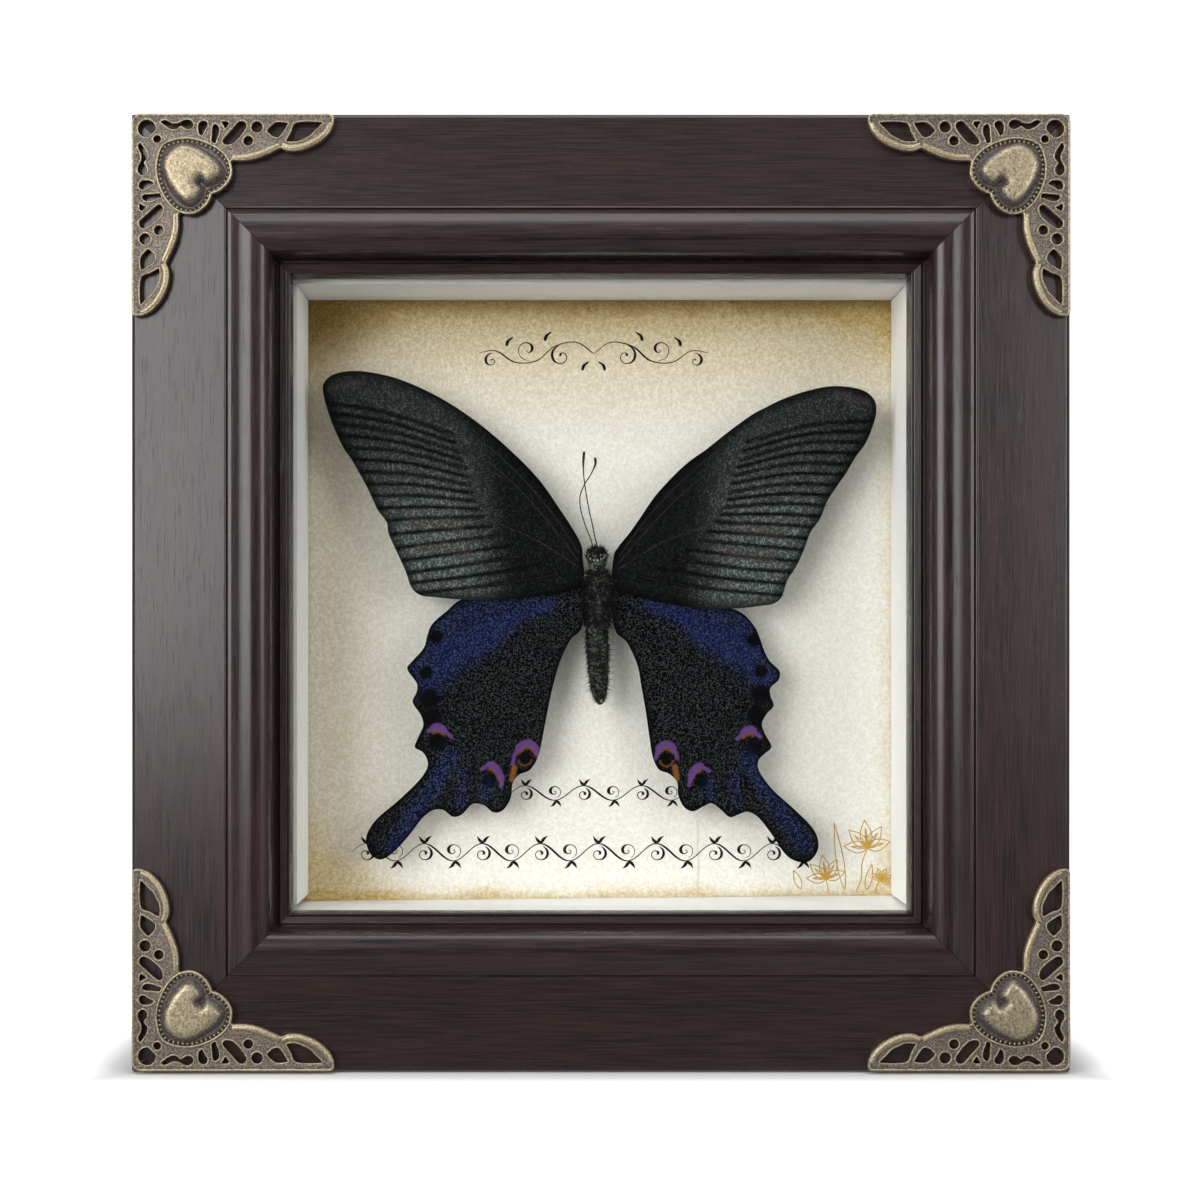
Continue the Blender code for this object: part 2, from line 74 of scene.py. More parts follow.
def edge(node, corner, axis):
    """Where a CAD node ends along one axis, in mm: corner 0 is its low end and 1 its high end."""
    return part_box(node)[corner][axis] / METRES


RAIL_DEPTH = 40.0
BAND_Y = edge("rail_top", 1, 1) - RAIL_DEPTH
HALF_WIDTH = edge("rail_right", 1, 0)
MID_HEIGHT = edge("rail_top", 1, 2) / 2
PAPER_DEPTH = edge("backing_paper", 0, 1) - BAND_Y
FOREWING_DEPTH = edge("forewing_left", 0, 1) - BAND_Y
HINDWING_DEPTH = edge("hindwing_left", 0, 1) - BAND_Y
BODY_DEPTH = (edge("insect_body", 0, 1) + edge("insect_body", 1, 1)) / 2 - BAND_Y


def in_metres(sizes):
    """The same named sizes, from millimetres to metres."""
    return {name: size * METRES for name, size in sizes.items()}


def at(x, depth, z):
    """World place in metres of one point, or of arrays of points as rows."""
    return np.stack(np.broadcast_arrays(x, np.add(depth, BAND_Y), z), axis=-1) * METRES


# Node graphs ------------------------------------------------------------------------------------


class Value:
    """A socket that can be used in arithmetic: each operation adds the Math node that does it."""

    def __init__(self, graph, socket):
        self.graph = graph
        self.socket = socket

    def math(self, operation, *operands):
        return self.graph.node("ShaderNodeMath", {"operation": operation}, dict(enumerate(operands)))

    def __add__(self, other):
        return self.math("ADD", self, other)

    def __sub__(self, other):
        return self.math("SUBTRACT", self, other)

    def __rsub__(self, other):
        return self.math("SUBTRACT", other, self)

    def __mul__(self, other):
        return self.math("MULTIPLY", self, other)

    def __neg__(self):
        return self.math("MULTIPLY", self, -1.0)

    def __abs__(self):
        return self.math("ABSOLUTE", self)

    __radd__ = __add__
    __rmul__ = __mul__

    def least(self, other):
        return self.math("MINIMUM", self, other)

    def most(self, other):
        return self.math("MAXIMUM", self, other)

    def sine(self):
        return self.math("SINE", self)

    def cosine(self):
        return self.math("COSINE", self)

    def ramp(self, zero, one):
        """0 on the side of the first value and 1 on the side of the second, smooth in between."""
        settings = {"interpolation_type": "SMOOTHSTEP"}
        return self.graph.node("ShaderNodeMapRange", settings, {0: self, 1: zero, 2: one})


class Graph:
    """A node tree that nodes are added to in one call each."""

    def __init__(self, tree):
        self.tree = tree

    def node(self, kind, settings=None, inputs=None, output=0):
        """Adds a node: its settings are set first, then each socket gets its value or its link."""
        made = self.tree.nodes.new(kind)
        for name, value in (settings or {}).items():
            setattr(made, name, value)
        for name, value in (inputs or {}).items():
            self.feed(made.inputs[name], value)
        return Value(self, made.outputs[output])

    def feed(self, socket, value):
        """Links a value to a socket, or sets the socket to a number or a colour."""
        if isinstance(value, Value):
            self.tree.links.new(value.socket, socket)
        elif socket.type == "RGBA":
            socket.default_value = (*value, 1.0)
        else:
            socket.default_value = value

    def parts(self, vector):
        """The three numbers of a vector."""
        split = self.node("ShaderNodeSeparateXYZ", None, {0: vector}).socket.node
        return [Value(self, output) for output in split.outputs]

    def vector(self, operation, first, second):
        return self.node("ShaderNodeVectorMath", {"operation": operation}, {0: first, 1: second})

    def joined(self, x, y, z):
        """The vector of three numbers."""
        return self.node("ShaderNodeCombineXYZ", None, {0: x, 1: y, 2: z})


class Finish(Graph):
    """A material on a Principled shader whose patterns are laid out in millimetres on the object."""

    def __init__(self, name):
        self.material = bpy.data.materials.new(name)
        self.material.use_nodes = True
        super().__init__(self.material.node_tree)
        self.shader = self.tree.nodes["Principled BSDF"]
        coordinates = self.node("ShaderNodeTexCoord", output="Object")
        self.place = self.vector("MULTIPLY", coordinates, (1 / METRES,) * 3)
        self.x, y, self.z = self.parts(self.place)
        self.depth = y - BAND_Y

    def mark(self, name):
        """A number stored at the mesh's points."""
        return self.node("ShaderNodeAttribute", {"attribute_name": name}, output="Fac")

    def noise(self, scale, detail=2.0, stretch=(1.0, 1.0, 1.0), shift=0.0, distortion=0.0, rough=0.5):
        """Cloudy noise from 0 to 1, this many clouds to the mm, from its own part of the pattern."""
        place = self.vector("MULTIPLY", self.place, stretch)
        place = self.vector("ADD", place, (shift, shift, shift))
        inputs = {"Vector": place, "Scale": scale, "Detail": detail, "Roughness": rough}
        inputs["Distortion"] = distortion
        return self.node("ShaderNodeTexNoise", None, inputs)

    def cells(self, scale, shift=0.0):
        """Distance from the nearest of a scatter of points."""
        place = self.vector("ADD", self.place, (shift, shift, shift))
        return self.node("ShaderNodeTexVoronoi", None, {"Vector": place, "Scale": scale})

    def blend(self, share, first, second):
        """The first colour, going over to the second as the share rises to 1."""
        inputs = {0: share, 6: first, 7: second}
        return self.node("ShaderNodeMix", {"data_type": "RGBA"}, inputs, output=2)

    def bump(self, height, size):
        """Relief whose height, from 0 to 1, stands for this size in mm."""
        inputs = {"Height": height, "Distance": size * METRES, "Strength": 1.0}
        return self.node("ShaderNodeBump", None, inputs)

    def shade(self, **inputs):
        """Feeds the shader, and returns the finished material."""
        for name, value in inputs.items():
            self.feed(self.shader.inputs[name.replace("_", " ")], value)
        return self.material


class Recipe(Graph):
    """A geometry tree with named inputs, run on a carrier object to make a plain mesh."""

    def __init__(self, name, **kinds):
        super().__init__(bpy.data.node_groups.new(name, "GeometryNodeTree"))
        interface = self.tree.interface
        interface.new_socket("Geometry", in_out="OUTPUT", socket_type="NodeSocketGeometry")
        self.keys = {}
        for label, kind in {"carrier": "Geometry", **kinds, "finish": "Material"}.items():
            socket = interface.new_socket(label, in_out="INPUT", socket_type="NodeSocket" + kind)
            self.keys[label] = socket.identifier
        self.entry = self.tree.nodes.new("NodeGroupInput")
        self.exit = self.tree.nodes.new("NodeGroupOutput")

    def given(self, label):
        """The tree's own input of this name."""
        return Value(self, self.entry.outputs[label])

    def end(self, shape):
        """Closes the tree: real geometry, smooth, in the finish that it is given."""
        whole = self.node("GeometryNodeRealizeInstances", None, {0: shape})
        smooth = self.node("GeometryNodeSetShadeSmooth", None, {0: whole})
        inputs = {"Geometry": smooth, "Material": self.given("finish")}
        self.feed(self.exit.inputs[0], self.node("GeometryNodeSetMaterial", None, inputs))

    def make(self, carrier, finish, **values):
        """Runs the tree on the carrier's data and returns the mesh; the carrier is used up."""
        holder = bpy.data.objects.new("carrier", carrier)
        bpy.context.scene.collection.objects.link(holder)
        modifier = holder.modifiers.new("recipe", "NODES")
        modifier.node_group = self.tree
        for label, value in {**values, "finish": finish}.items():
            modifier[self.keys[label]] = value
        graph = bpy.context.evaluated_depsgraph_get()
        mesh = bpy.data.meshes.new_from_object(holder.evaluated_get(graph))
        holder.modifiers.remove(modifier)
        bpy.data.objects.remove(holder)
        mesh.materials.clear()
        mesh.materials.append(finish)
        return mesh


# Shapes -----------------------------------------------------------------------------------------


def flowing(points, steps, closed=False):
    """A smooth curve through the points, with this many steps between neighbours."""
    points = np.array(points, float)
    if closed:
        padded = np.concatenate([points[-1:], points, points[:2]])
    else:
        padded = np.concatenate([2 * points[:1] - points[1:2], points, 2 * points[-1:] - points[-2:-1]])
    share = (np.arange(steps) / steps)[:, None]
    runs = []
    for a, b, c, d in zip(padded, padded[1:], padded[2:], padded[3:]):
        bend = (2 * a - 5 * b + 4 * c - d) * share**2 + (3 * b - a - 3 * c + d) * share**3
        runs.append(b + ((c - a) * share + bend) / 2)
    if not closed:
        runs.append(points[-1:])
    return np.concatenate(runs)


def arc(centre, radius, first, last, steps):
    """Points round a centre from one angle to another, in degrees."""
    turn = np.radians(np.linspace(first, last, steps + 1))
    return np.stack([centre[0] + radius * np.cos(turn), centre[1] + radius * np.sin(turn)], axis=1)


def nearest(points, path):
    """How far each point lies from an open path."""
    best = np.full(len(points), np.inf)
    for start, end in zip(path[:-1], path[1:]):
        span = end - start
        along = np.clip((points - start) @ span / (span @ span + 1e-12), 0.0, 1.0)
        off = points - start - along[:, None] * span
        best = np.minimum(best, np.hypot(off[:, 0], off[:, 1]))
    return best


def ring_distance(points, loop):
    """How far each point lies from a closed loop."""
    return nearest(points, np.concatenate([loop, loop[:1]]))


def inside(points, loops):
    """Whether each point is within the loops; a loop inside another one is a hole."""
    crossed = np.zeros(len(points), int)
    x, y = points.T
    for loop in loops:
        for (x0, y0), (x1, y1) in zip(loop, np.roll(loop, -1, axis=0)):
            if y0 != y1:
                crossed += ((y0 > y) != (y1 > y)) & (x < x0 + (y - y0) * (x1 - x0) / (y1 - y0))
    return crossed % 2 == 1


def step(value, zero, one):
    """0 on the side of the first number and 1 on the side of the second, smooth in between."""
    share = np.clip((value - zero) / (one - zero), 0.0, 1.0)
    return share * share * (3 - 2 * share)


def filled(loops, spacing, creases=()):
    """Points and triangles that fill the space within the loops, with edges along the crease loops too."""
    lines = [*loops, *creases]
    corners = np.concatenate(lines)
    edges = []
    for loop in lines:
        first = len(edges)
        edges += [(first + i, first + (i + 1) % len(loop)) for i in range(len(loop))]
    low, high = corners.min(axis=0), corners.max(axis=0)
    rows = np.arange(low[1], high[1], spacing * math.sqrt(0.75))
    columns = np.arange(low[0], high[0], spacing)
    x, y = np.meshgrid(columns, rows)
    x = x + (np.arange(len(rows)) % 2)[:, None] * spacing / 2
    grid = np.stack([x.ravel(), y.ravel()], axis=1)
    grid = grid[inside(grid, loops)]
    clear = np.min([ring_distance(grid, loop) for loop in lines], axis=0)
    grid = grid[clear > spacing * 0.45]
    points = [Vector(point) for point in np.concatenate([corners, grid])]
    made = geometry.delaunay_2d_cdt(points, edges, [], 0, 1e-6)
    points = np.array([tuple(point) for point in made[0]])
    faces = np.array(made[2])
    middles = points[faces].mean(axis=1)
    faces = faces[inside(middles, loops)]
    used, faces = np.unique(faces, return_inverse=True)
    return points[used], faces.reshape(-1, 3)


def add_piece(name, mesh, finish, slot, *stands_for):
    """Puts a finished mesh in the scene as a piece of the object."""
    mesh.materials.clear()
    mesh.materials.append(finish)
    made = bpy.data.objects.new(name, mesh)
    mesh.name = name
    bpy.context.scene.collection.objects.link(made)
    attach(made, "root")
    if stands_for:
        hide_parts(*stands_for)
    return made


def solid(front, back, faces, marks):
    """A closed sheet from matching front and back points; marks are numbers kept at the points."""
    count = len(front)
    sides = np.concatenate([faces[:, [0, 1]], faces[:, [1, 2]], faces[:, [2, 0]]])
    _, index, uses = np.unique(np.sort(sides, axis=1), axis=0, return_index=True, return_counts=True)
    rim = sides[index[uses == 1]]
    walls = [[b, a, a + count] for a, b in rim] + [[b, a + count, b + count] for a, b in rim]
    faces = np.concatenate([faces, faces[:, ::-1] + count, walls])
    points = np.concatenate([front, back])
    if np.linalg.det(points[faces] * 100).sum() < 0:
        faces = faces[:, ::-1]
    mesh = bpy.data.meshes.new("sheet")
    mesh.from_pydata(points.tolist(), [], faces.tolist())
    for name, values in marks.items():
        layer = mesh.attributes.new(name, "FLOAT", "POINT")
        layer.data.foreach_set("value", np.concatenate([values, values]).astype(np.float32))
    return mesh


def smooth(mesh, angle):
    """Shades the mesh smooth except across edges sharper than the angle, in degrees."""
    mesh.shade_smooth()
    mesh.set_sharp_from_angle(angle=math.radians(angle))
    return mesh


def joined_mesh(meshes):
    """All the meshes in one, with the marks at their points kept."""
    bm = bmesh.new()
    for mesh in meshes:
        bm.from_mesh(mesh)
    whole = bpy.data.meshes.new("joined")
    bm.to_mesh(whole)
    bm.free()
    return whole


def strokes_curve(strokes, closed=False):
    """A curve carrier. Each stroke is (points in metres, radius in mm at each point or for all)."""
    curve = bpy.data.curves.new("strokes", "CURVE")
    curve.dimensions = "3D"
    for points, radius in strokes:
        spline = curve.splines.new("POLY")
        spline.points.add(len(points) - 1)
        flat = np.concatenate([points, np.ones((len(points), 1))], axis=1)
        spline.points.foreach_set("co", flat.ravel())
        radii = np.broadcast_to(np.multiply(radius, METRES), len(points))
        spline.points.foreach_set("radius", radii.astype(np.float32))
        spline.use_cyclic_u = closed
    return curve


def make_sweep():
    """Round rods along curves, as thick as each point's radius, pressed flat about a plane."""
    tree = Recipe("sweep", sides="Int", plane="Float", flatness="Float")
    round_section = {"Resolution": tree.given("sides"), "Radius": 1.0}
    ring = tree.node("GeometryNodeCurvePrimitiveCircle", None, round_section)
    radius = tree.node("GeometryNodeInputRadius")
    inputs = {"Curve": tree.given("carrier"), "Profile Curve": ring, "Scale": radius, "Fill Caps": True}
    rod = tree.node("GeometryNodeCurveToMesh", None, inputs)
    x, y, z = tree.parts(tree.node("GeometryNodeInputPosition"))
    plane = tree.given("plane")
    pressed = tree.joined(x, plane + (y - plane) * tree.given("flatness"), z)
    tree.end(tree.node("GeometryNodeSetPosition", None, {"Geometry": rod, "Position": pressed}))
    return tree


SWEEP = make_sweep()


def swept(strokes, finish, sides=6, closed=False, depth=0.0, flatness=1.0):
    """A mesh of rods along the strokes; a flatness under 1 presses them towards a depth."""
    plane = (depth + BAND_Y) * METRES
    curve = strokes_curve(strokes, closed)
    return SWEEP.make(curve, finish, sides=sides, plane=plane, flatness=flatness)


# Finishes ---------------------------------------------------------------------------------------


def wood_finish(name, along_x):
    """Stained mahogany under a satin varnish, with its grain along the rail and bare wood behind."""
    wood = Finish(name)

    def run(length):
        """Draws a pattern out to this many times its width along the rail."""
        return (1 / length, 1.0, 1.0) if along_x else (1.0, 1.0, 1 / length)

    grain = wood.noise(2.8, detail=4.0, stretch=run(34.0), distortion=0.25)
    pores = wood.noise(6.5, detail=2.0, stretch=run(40.0), shift=11.0)
    cloud = wood.noise(0.22, detail=4.0, stretch=run(9.0), shift=31.0)
    pore = pores.ramp(0.60, 0.72)
    tone = grain.ramp(0.32, 0.70)
    stained = wood.blend(tone, (0.0150, 0.0092, 0.0100), (0.0430, 0.0240, 0.0235))
    stained = wood.blend(cloud.ramp(0.42, 0.66) * 0.40, stained, (0.052, 0.025, 0.021))
    stained = wood.blend(pore * 0.6, stained, (0.0085, 0.0055, 0.0058))
    bare = wood.blend(tone, (0.20, 0.105, 0.052), (0.36, 0.21, 0.12))
    behind = wood.depth.ramp(RAIL_DEPTH - 0.5, RAIL_DEPTH - 0.1)
    dusty = wood.noise(0.11, shift=5.0).ramp(0.60, 0.66)
    dust = wood.cells(0.9, shift=3.0).ramp(0.075, 0.045) * dusty
    colour = wood.blend(behind, stained, bare)
    colour = wood.blend(dust * 0.35, colour, (0.35, 0.34, 0.33))
    roughness = 0.225 + tone * 0.03 + pore * 0.06 + behind * 0.35 + dust * 0.2
    relief = wood.bump(grain * 0.5 + pore * -0.5, 0.014)
    return wood.shade(Base_Color=colour, Roughness=roughness, Normal=relief)


def bronze_finish():
    """Antique cast bronze: dark in the hollows, rubbed bright on what stands proud."""
    metal = Finish("antique_bronze")
    proud = metal.mark("proud")
    speckle = metal.noise(2.4, detail=4.0, rough=0.65)
    blotch = metal.noise(0.55, detail=3.0, shift=9.0)
    worn = (proud + (speckle - 0.5) * 0.9 + (blotch - 0.5) * 0.4).ramp(0.10, 0.90)
    pit = proud.ramp(-0.30, -0.55)
    dark = metal.blend(speckle.ramp(0.35, 0.65), (0.080, 0.062, 0.054), (0.235, 0.205, 0.190))
    bright = metal.blend(speckle.ramp(0.32, 0.68), (0.34, 0.26, 0.145), (0.66, 0.575, 0.405))
    colour = metal.blend(worn, dark, bright)
    colour = metal.blend(pit, colour, (0.008, 0.007, 0.007))
    roughness = 0.50 - worn * 0.10 + (speckle - 0.5) * 0.2
    relief = metal.bump(speckle * 0.6 + metal.noise(5.0, detail=1.0) * 0.4, 0.10)
    metallic = (0.60 + worn * 0.20) * (1 - pit)
    return metal.shade(Base_Color=colour, Metallic=metallic, Roughness=roughness, Normal=relief)


def glass_finish():
    """Clear picture glass that throws next to no shadow of its own."""
    pane = Finish("picture_glass")
    clear = {"Roughness": 0.0, "IOR": 1.5, "Transmission_Weight": 1.0}
    material = pane.shade(Base_Color=(0.985, 0.995, 0.99), **clear)
    through = pane.node("ShaderNodeBsdfTransparent", None, {0: (0.96, 0.97, 0.965)})
    shadow = pane.node("ShaderNodeLightPath", output="Is Shadow Ray")
    shader = Value(pane, pane.shader.outputs[0])
    both = pane.node("ShaderNodeMixShader", None, {0: shadow, 1: shader, 2: through})
    pane.feed(pane.tree.nodes["Material Output"].inputs[0], both)
    return material


def board_finish(name, light, dark, fibre, roughness=0.8):
    """Card or board with a faint fibrous mottle."""
    board = Finish(name)
    mottle = board.noise(0.35, detail=4.0)
    fibres = board.noise(fibre, detail=3.0, stretch=(1.0, 1.0, 0.35), shift=4.0)
    share = (mottle * 0.5 + fibres * 0.5).ramp(0.35, 0.65)
    relief = board.bump(fibres, 0.05)
    return board.shade(Base_Color=board.blend(share, dark, light), Roughness=roughness, Normal=relief)


SHEET_LEFT, SHEET_RIGHT = -67.0, 67.5
SHEET_LOW, SHEET_HIGH = 33.0, 170.5
CREASE_X = 23.0


def paper_finish():
    """Old uncoated paper: cream in the middle, stained golden brown towards the edges, with painted shade
    of the top rail's lip and of the left wall darkening the top edge and the left side.
    """
    paper = Finish("aged_paper")
    waver = (paper.noise(0.06, detail=4.0, rough=0.6) - 0.5) * 16.0
    fine = (paper.noise(0.5, detail=3.0, shift=8.0) - 0.5) * 3.0
    from_left = paper.x - SHEET_LEFT + waver * 0.4 + fine
    from_right = SHEET_RIGHT - paper.x + waver * 0.4 + fine
    from_top = SHEET_HIGH - paper.z + waver * 0.3 + fine * 0.6
    from_low = paper.z - SHEET_LOW + waver * 0.3 + fine * 0.6
    grit = paper.noise(2.4, detail=3.0, rough=0.7, shift=2.0)
    mottle = paper.noise(0.9, detail=4.0, rough=0.7, shift=15.0)
    finer = paper.noise(1.7, detail=2.0, rough=0.7, shift=27.0)
    fleck = (mottle * 0.5 + finer * 0.5).ramp(0.40, 0.62)
    top_left = (from_left * 0.8 + from_top).ramp(27.0, 6.0)
    top_right = (from_right * 0.9 + from_top).ramp(26.0, 5.0)
    low_left = (from_left * 0.9 + from_low).ramp(26.0, 10.0)
    low_right = (from_right + from_low).ramp(18.0, 4.0)
    # Toning towards the edges. Along the top and down the left side it is partly real toning and partly
    # painted shade of the top rail's lip and of the left wall.
    toned_and_shade = (from_top.ramp(40.0, 4.0) * 0.95).most(from_left.ramp(34.0, -4.0) * 0.68)
    toned_and_shade = toned_and_shade.most(from_right.ramp(5.0, -1.0) * 0.5).most(from_low.ramp(5.0, -1.0) * 0.75)
    # Along the top edge the golden and umber bands are partly stain and partly painted shade cast by the
    # top rail's lip; the umber in the top left corner is stain.
    golden = from_top.ramp(10.0, 0.0) * 0.85 + top_right * 0.90 + low_left * 0.66 + low_right * 0.45
    golden = (golden + from_low.ramp(2.6, 0.2) * 0.5 + top_left * 0.6).least(1.0)
    burnt_and_lip_shade = (top_left * 0.95).most(from_top.ramp(5.5, -0.5) * 0.85)
    cream = paper.blend(fleck, (0.785, 0.750, 0.655), (0.895, 0.880, 0.845))
    tan = paper.blend(fleck, (0.550, 0.440, 0.240), (0.740, 0.645, 0.460))
    ochre = paper.blend(fleck, (0.460, 0.315, 0.100), (0.700, 0.520, 0.235))
    umber = paper.blend(grit.ramp(0.35, 0.65), (0.125, 0.068, 0.012), (0.320, 0.190, 0.048))
    # Cream goes to tan with the toning and the painted shade, to ochre with the stains, and to umber in the
    # top left corner and along the painted lip shade at the top edge.
    colour = paper.blend(toned_and_shade, cream, tan)
    colour = paper.blend(golden, colour, ochre)
    colour = paper.blend(burnt_and_lip_shade, colour, umber)
    speck = paper.noise(1.7, detail=2.0, shift=40.0).ramp(0.64, 0.74)
    speck = speck * (golden * 0.6 + toned_and_shade * 0.25 + 0.10)
    colour = paper.blend(speck * 0.55, colour, (0.16, 0.10, 0.03))
    ridge = abs(paper.noise(0.16, detail=3.0, shift=21.0, distortion=1.2) - 0.5)
    crack = ridge.ramp(0.010, 0.003) * paper.noise(0.09, shift=60.0).ramp(0.54, 0.60) * golden
    colour = paper.blend(crack * 0.8, colour, (0.07, 0.035, 0.010))
    bend = abs(paper.x - CREASE_X + (paper.noise(0.15, shift=3.0) - 0.5) * 1.2)
    crease = bend.ramp(0.45, 0.1) * paper.z.ramp(54.0, 48.0) * 0.35
    colour = paper.blend(crease, colour, (0.50, 0.36, 0.16))
    tooth = paper.bump(grit * 0.6 + mottle * 0.4, 0.05)
    return paper.shade(Base_Color=colour, Roughness=0.85, Normal=tooth, Specular_IOR_Level=0.25)


def steel_finish(name, colour, roughness):
    """Plain or plated metal with faint drawn marks and dull stains."""
    steel = Finish(name)
    marks = steel.noise(1.8, detail=3.0, stretch=(0.25, 1.0, 1.0))
    stain = steel.noise(0.5, detail=3.0, shift=6.0).ramp(0.5, 0.75)
    dull = tuple(part * 0.55 for part in colour)
    tint = steel.blend(stain * 0.6, colour, dull)
    relief = steel.bump(marks, 0.02)
    return steel.shade(Base_Color=tint, Metallic=1.0, Roughness=roughness + marks * 0.15, Normal=relief)


def ink_finish(name, colour, roughness):
    """Printed line: a little uneven where the paper took it up."""
    ink = Finish(name)
    take = ink.noise(3.0, detail=2.0)
    pale = tuple(part * 1.5 + 0.006 for part in colour)
    tint = ink.blend(take.ramp(0.4, 0.75), colour, pale)
    return ink.shade(Base_Color=tint, Roughness=roughness, Specular_IOR_Level=0.08)


def scale_strands(wing, size, cut=0.62):
    """Short fine strands of pale scales that lie in four directions; a lower cut gives more."""
    found = None
    for turn in (0.3, 1.1, 1.9, 2.7):
        along = wing.x * math.cos(turn) + wing.z * math.sin(turn)
        across = wing.z * math.cos(turn) - wing.x * math.sin(turn)
        place = wing.joined(along * 0.34, across * 1.15, 40.0 * turn)
        dash = wing.node("ShaderNodeTexNoise", None, {"Vector": place, "Scale": size, "Detail": 0.0})
        found = dash if found is None else found.most(dash)
    return found.ramp(cut, cut + 0.10)


def forewing_finish():
    """Black scales with soft grey-green bands between the veins and folds."""
    wing = Finish("forewing_scales")
    fold = wing.mark("fold")
    band = wing.mark("band")
    blush = wing.mark("blush")
    margin = wing.mark("margin")
    light = band * fold
    strands = scale_strands(wing, 3.1, 0.66)
    grain = wing.noise(3.4, detail=3.0, rough=0.7, shift=4.0)
    patch = wing.noise(0.35, detail=3.0, rough=0.6, shift=12.0)
    light = light * (0.55 + patch * 0.9)
    strength = strands * (0.02 + patch * 0.07 + light * 0.94).least(1.0) * margin.ramp(0.1, 1.2)
    dusting = (light * (0.45 + grain * 0.9)).least(1.0)
    ground = wing.blend(dusting, (0.0012, 0.0013, 0.0016), (0.050, 0.062, 0.056))
    ground = wing.blend(blush * 0.55, ground, (0.050, 0.034, 0.036))
    pale = wing.blend(light.least(1.0), (0.120, 0.128, 0.128), (0.185, 0.215, 0.200))
    pale = wing.blend(blush * 0.5, pale, (0.17, 0.11, 0.115))
    colour = wing.blend(strength, ground, pale)
    relief = wing.bump(strands * 0.6 + grain * 0.4, 0.06)
    return wing.shade(Base_Color=colour, Roughness=0.85, Normal=relief, Specular_IOR_Level=0.03)


def hindwing_finish():
    """Black scales with a deep blue field, violet and orange crescents and a speckled tail."""
    wing = Finish("hindwing_scales")
    blue = wing.mark("blue")
    violet = wing.mark("violet")
    orange = wing.mark("orange")
    spot = wing.mark("spot")
    tail = wing.mark("tail")
    margin = wing.mark("margin")
    strands = scale_strands(wing, 3.5, 0.64)
    grain = wing.noise(3.6, detail=3.0, rough=0.7, shift=9.0)
    patch = wing.noise(0.30, detail=3.0, shift=2.0)
    field = (blue * (0.55 + patch * 0.9)).least(1.0) * margin.ramp(0.0, 1.1) * (1 - spot)
    dusting = field.most(tail * 0.45) * grain.ramp(0.25, 0.6)
    ground = wing.blend(dusting, (0.0014, 0.0015, 0.0022), (0.0060, 0.0095, 0.046))
    pale = wing.blend(field.most(tail * 0.9), (0.105, 0.115, 0.118), (0.048, 0.064, 0.170))
    strength = strands * (0.24 + patch * 0.3 + field * 0.34 + tail * 0.42)
    strength = strength * (1 - spot * 0.92) * margin.ramp(0.1, 1.1)
    colour = wing.blend(strength, ground, pale)
    fleck = grain.ramp(0.25, 0.7)
    colour = wing.blend(orange * (0.45 + fleck * 0.45), colour, (0.25, 0.095, 0.020))
    colour = wing.blend(violet * (0.55 + fleck * 0.45), colour, (0.13, 0.055, 0.21))
    relief = wing.bump(strands * 0.6 + grain * 0.4, 0.06)
    return wing.shade(Base_Color=colour, Roughness=0.85, Normal=relief, Specular_IOR_Level=0.03)


def insect_finish(name, colour, pale, roughness, gloss=0.15):
    """Dark skin or hair with a scatter of paler strands."""
    skin = Finish(name)
    patch = skin.noise(0.6, detail=2.0, shift=7.0).ramp(0.35, 0.6)
    share = scale_strands(skin, 2.8, 0.63) * patch
    relief = skin.bump(skin.noise(4.0, detail=2.0, shift=3.0), 0.1)
    tint = skin.blend(share, colour, pale)
    return skin.shade(Base_Color=tint, Roughness=roughness, Normal=relief, Specular_IOR_Level=gloss)


# Rails ------------------------------------------------------------------------------------------

# How far in from the outer edge the lip and the rebate end, and how deep the lip is.
LIP = 33.1
REBATE = 27.0
LIP_BACK = 11.0
MITRE_GAP = 0.06
RAIL_SIDES = ("bottom", "left", "top", "right")


def rail_section():
    """The moulding's outline as (distance in from the outer edge, depth), back edge to lip to rebate."""
    arris = RAIL_DEPTH - 0.3
    outer = np.concatenate([[(0.3, RAIL_DEPTH), (0.0, arris)], arc((1.1, 1.1), 1.1, 180, 270, 6)])
    ridge = [(19.62, 0.0), (19.80, -0.07), (19.92, -0.16), (20.04, -0.19), (20.14, -0.14), (20.19, -0.02)]
    quirk = [(20.24, 0.34), (20.46, 0.36), (20.54, 0.10), (20.64, -0.04), (20.90, -0.10)]
    ogee = flowing(
        [
            (21.2, -0.14), (21.9, -0.48), (22.6, -0.88), (23.2, -1.18), (24.4, -1.58), (25.8, -1.80),
            (27.3, -1.58), (28.5, -1.02), (29.3, -0.20), (29.8, 1.10), (30.1, 2.90), (30.2, 4.50),
        ],
        4,
    )
    groove = [(30.25, 5.6), (30.66, 5.65)]
    step_edge = [
        (30.72, 5.30), (30.78, 5.12), (30.88, 5.0), (31.02, 4.95), (31.2, 5.0), (32.25, 5.2), (32.42, 5.28),
    ]
    bead = [
        (32.5, 5.42), (32.62, 5.42), (32.68, 5.12), (32.76, 4.97), (32.88, 4.90), (33.0, 4.95), (LIP, 5.12),
    ]
    back = [
        (LIP, LIP_BACK - 0.1), (LIP - 0.1, LIP_BACK), (REBATE, LIP_BACK), (REBATE, arris),
        (REBATE - 0.3, RAIL_DEPTH),
    ]
    return np.concatenate([outer, ridge, quirk, ogee, groove, step_edge, bead, back])


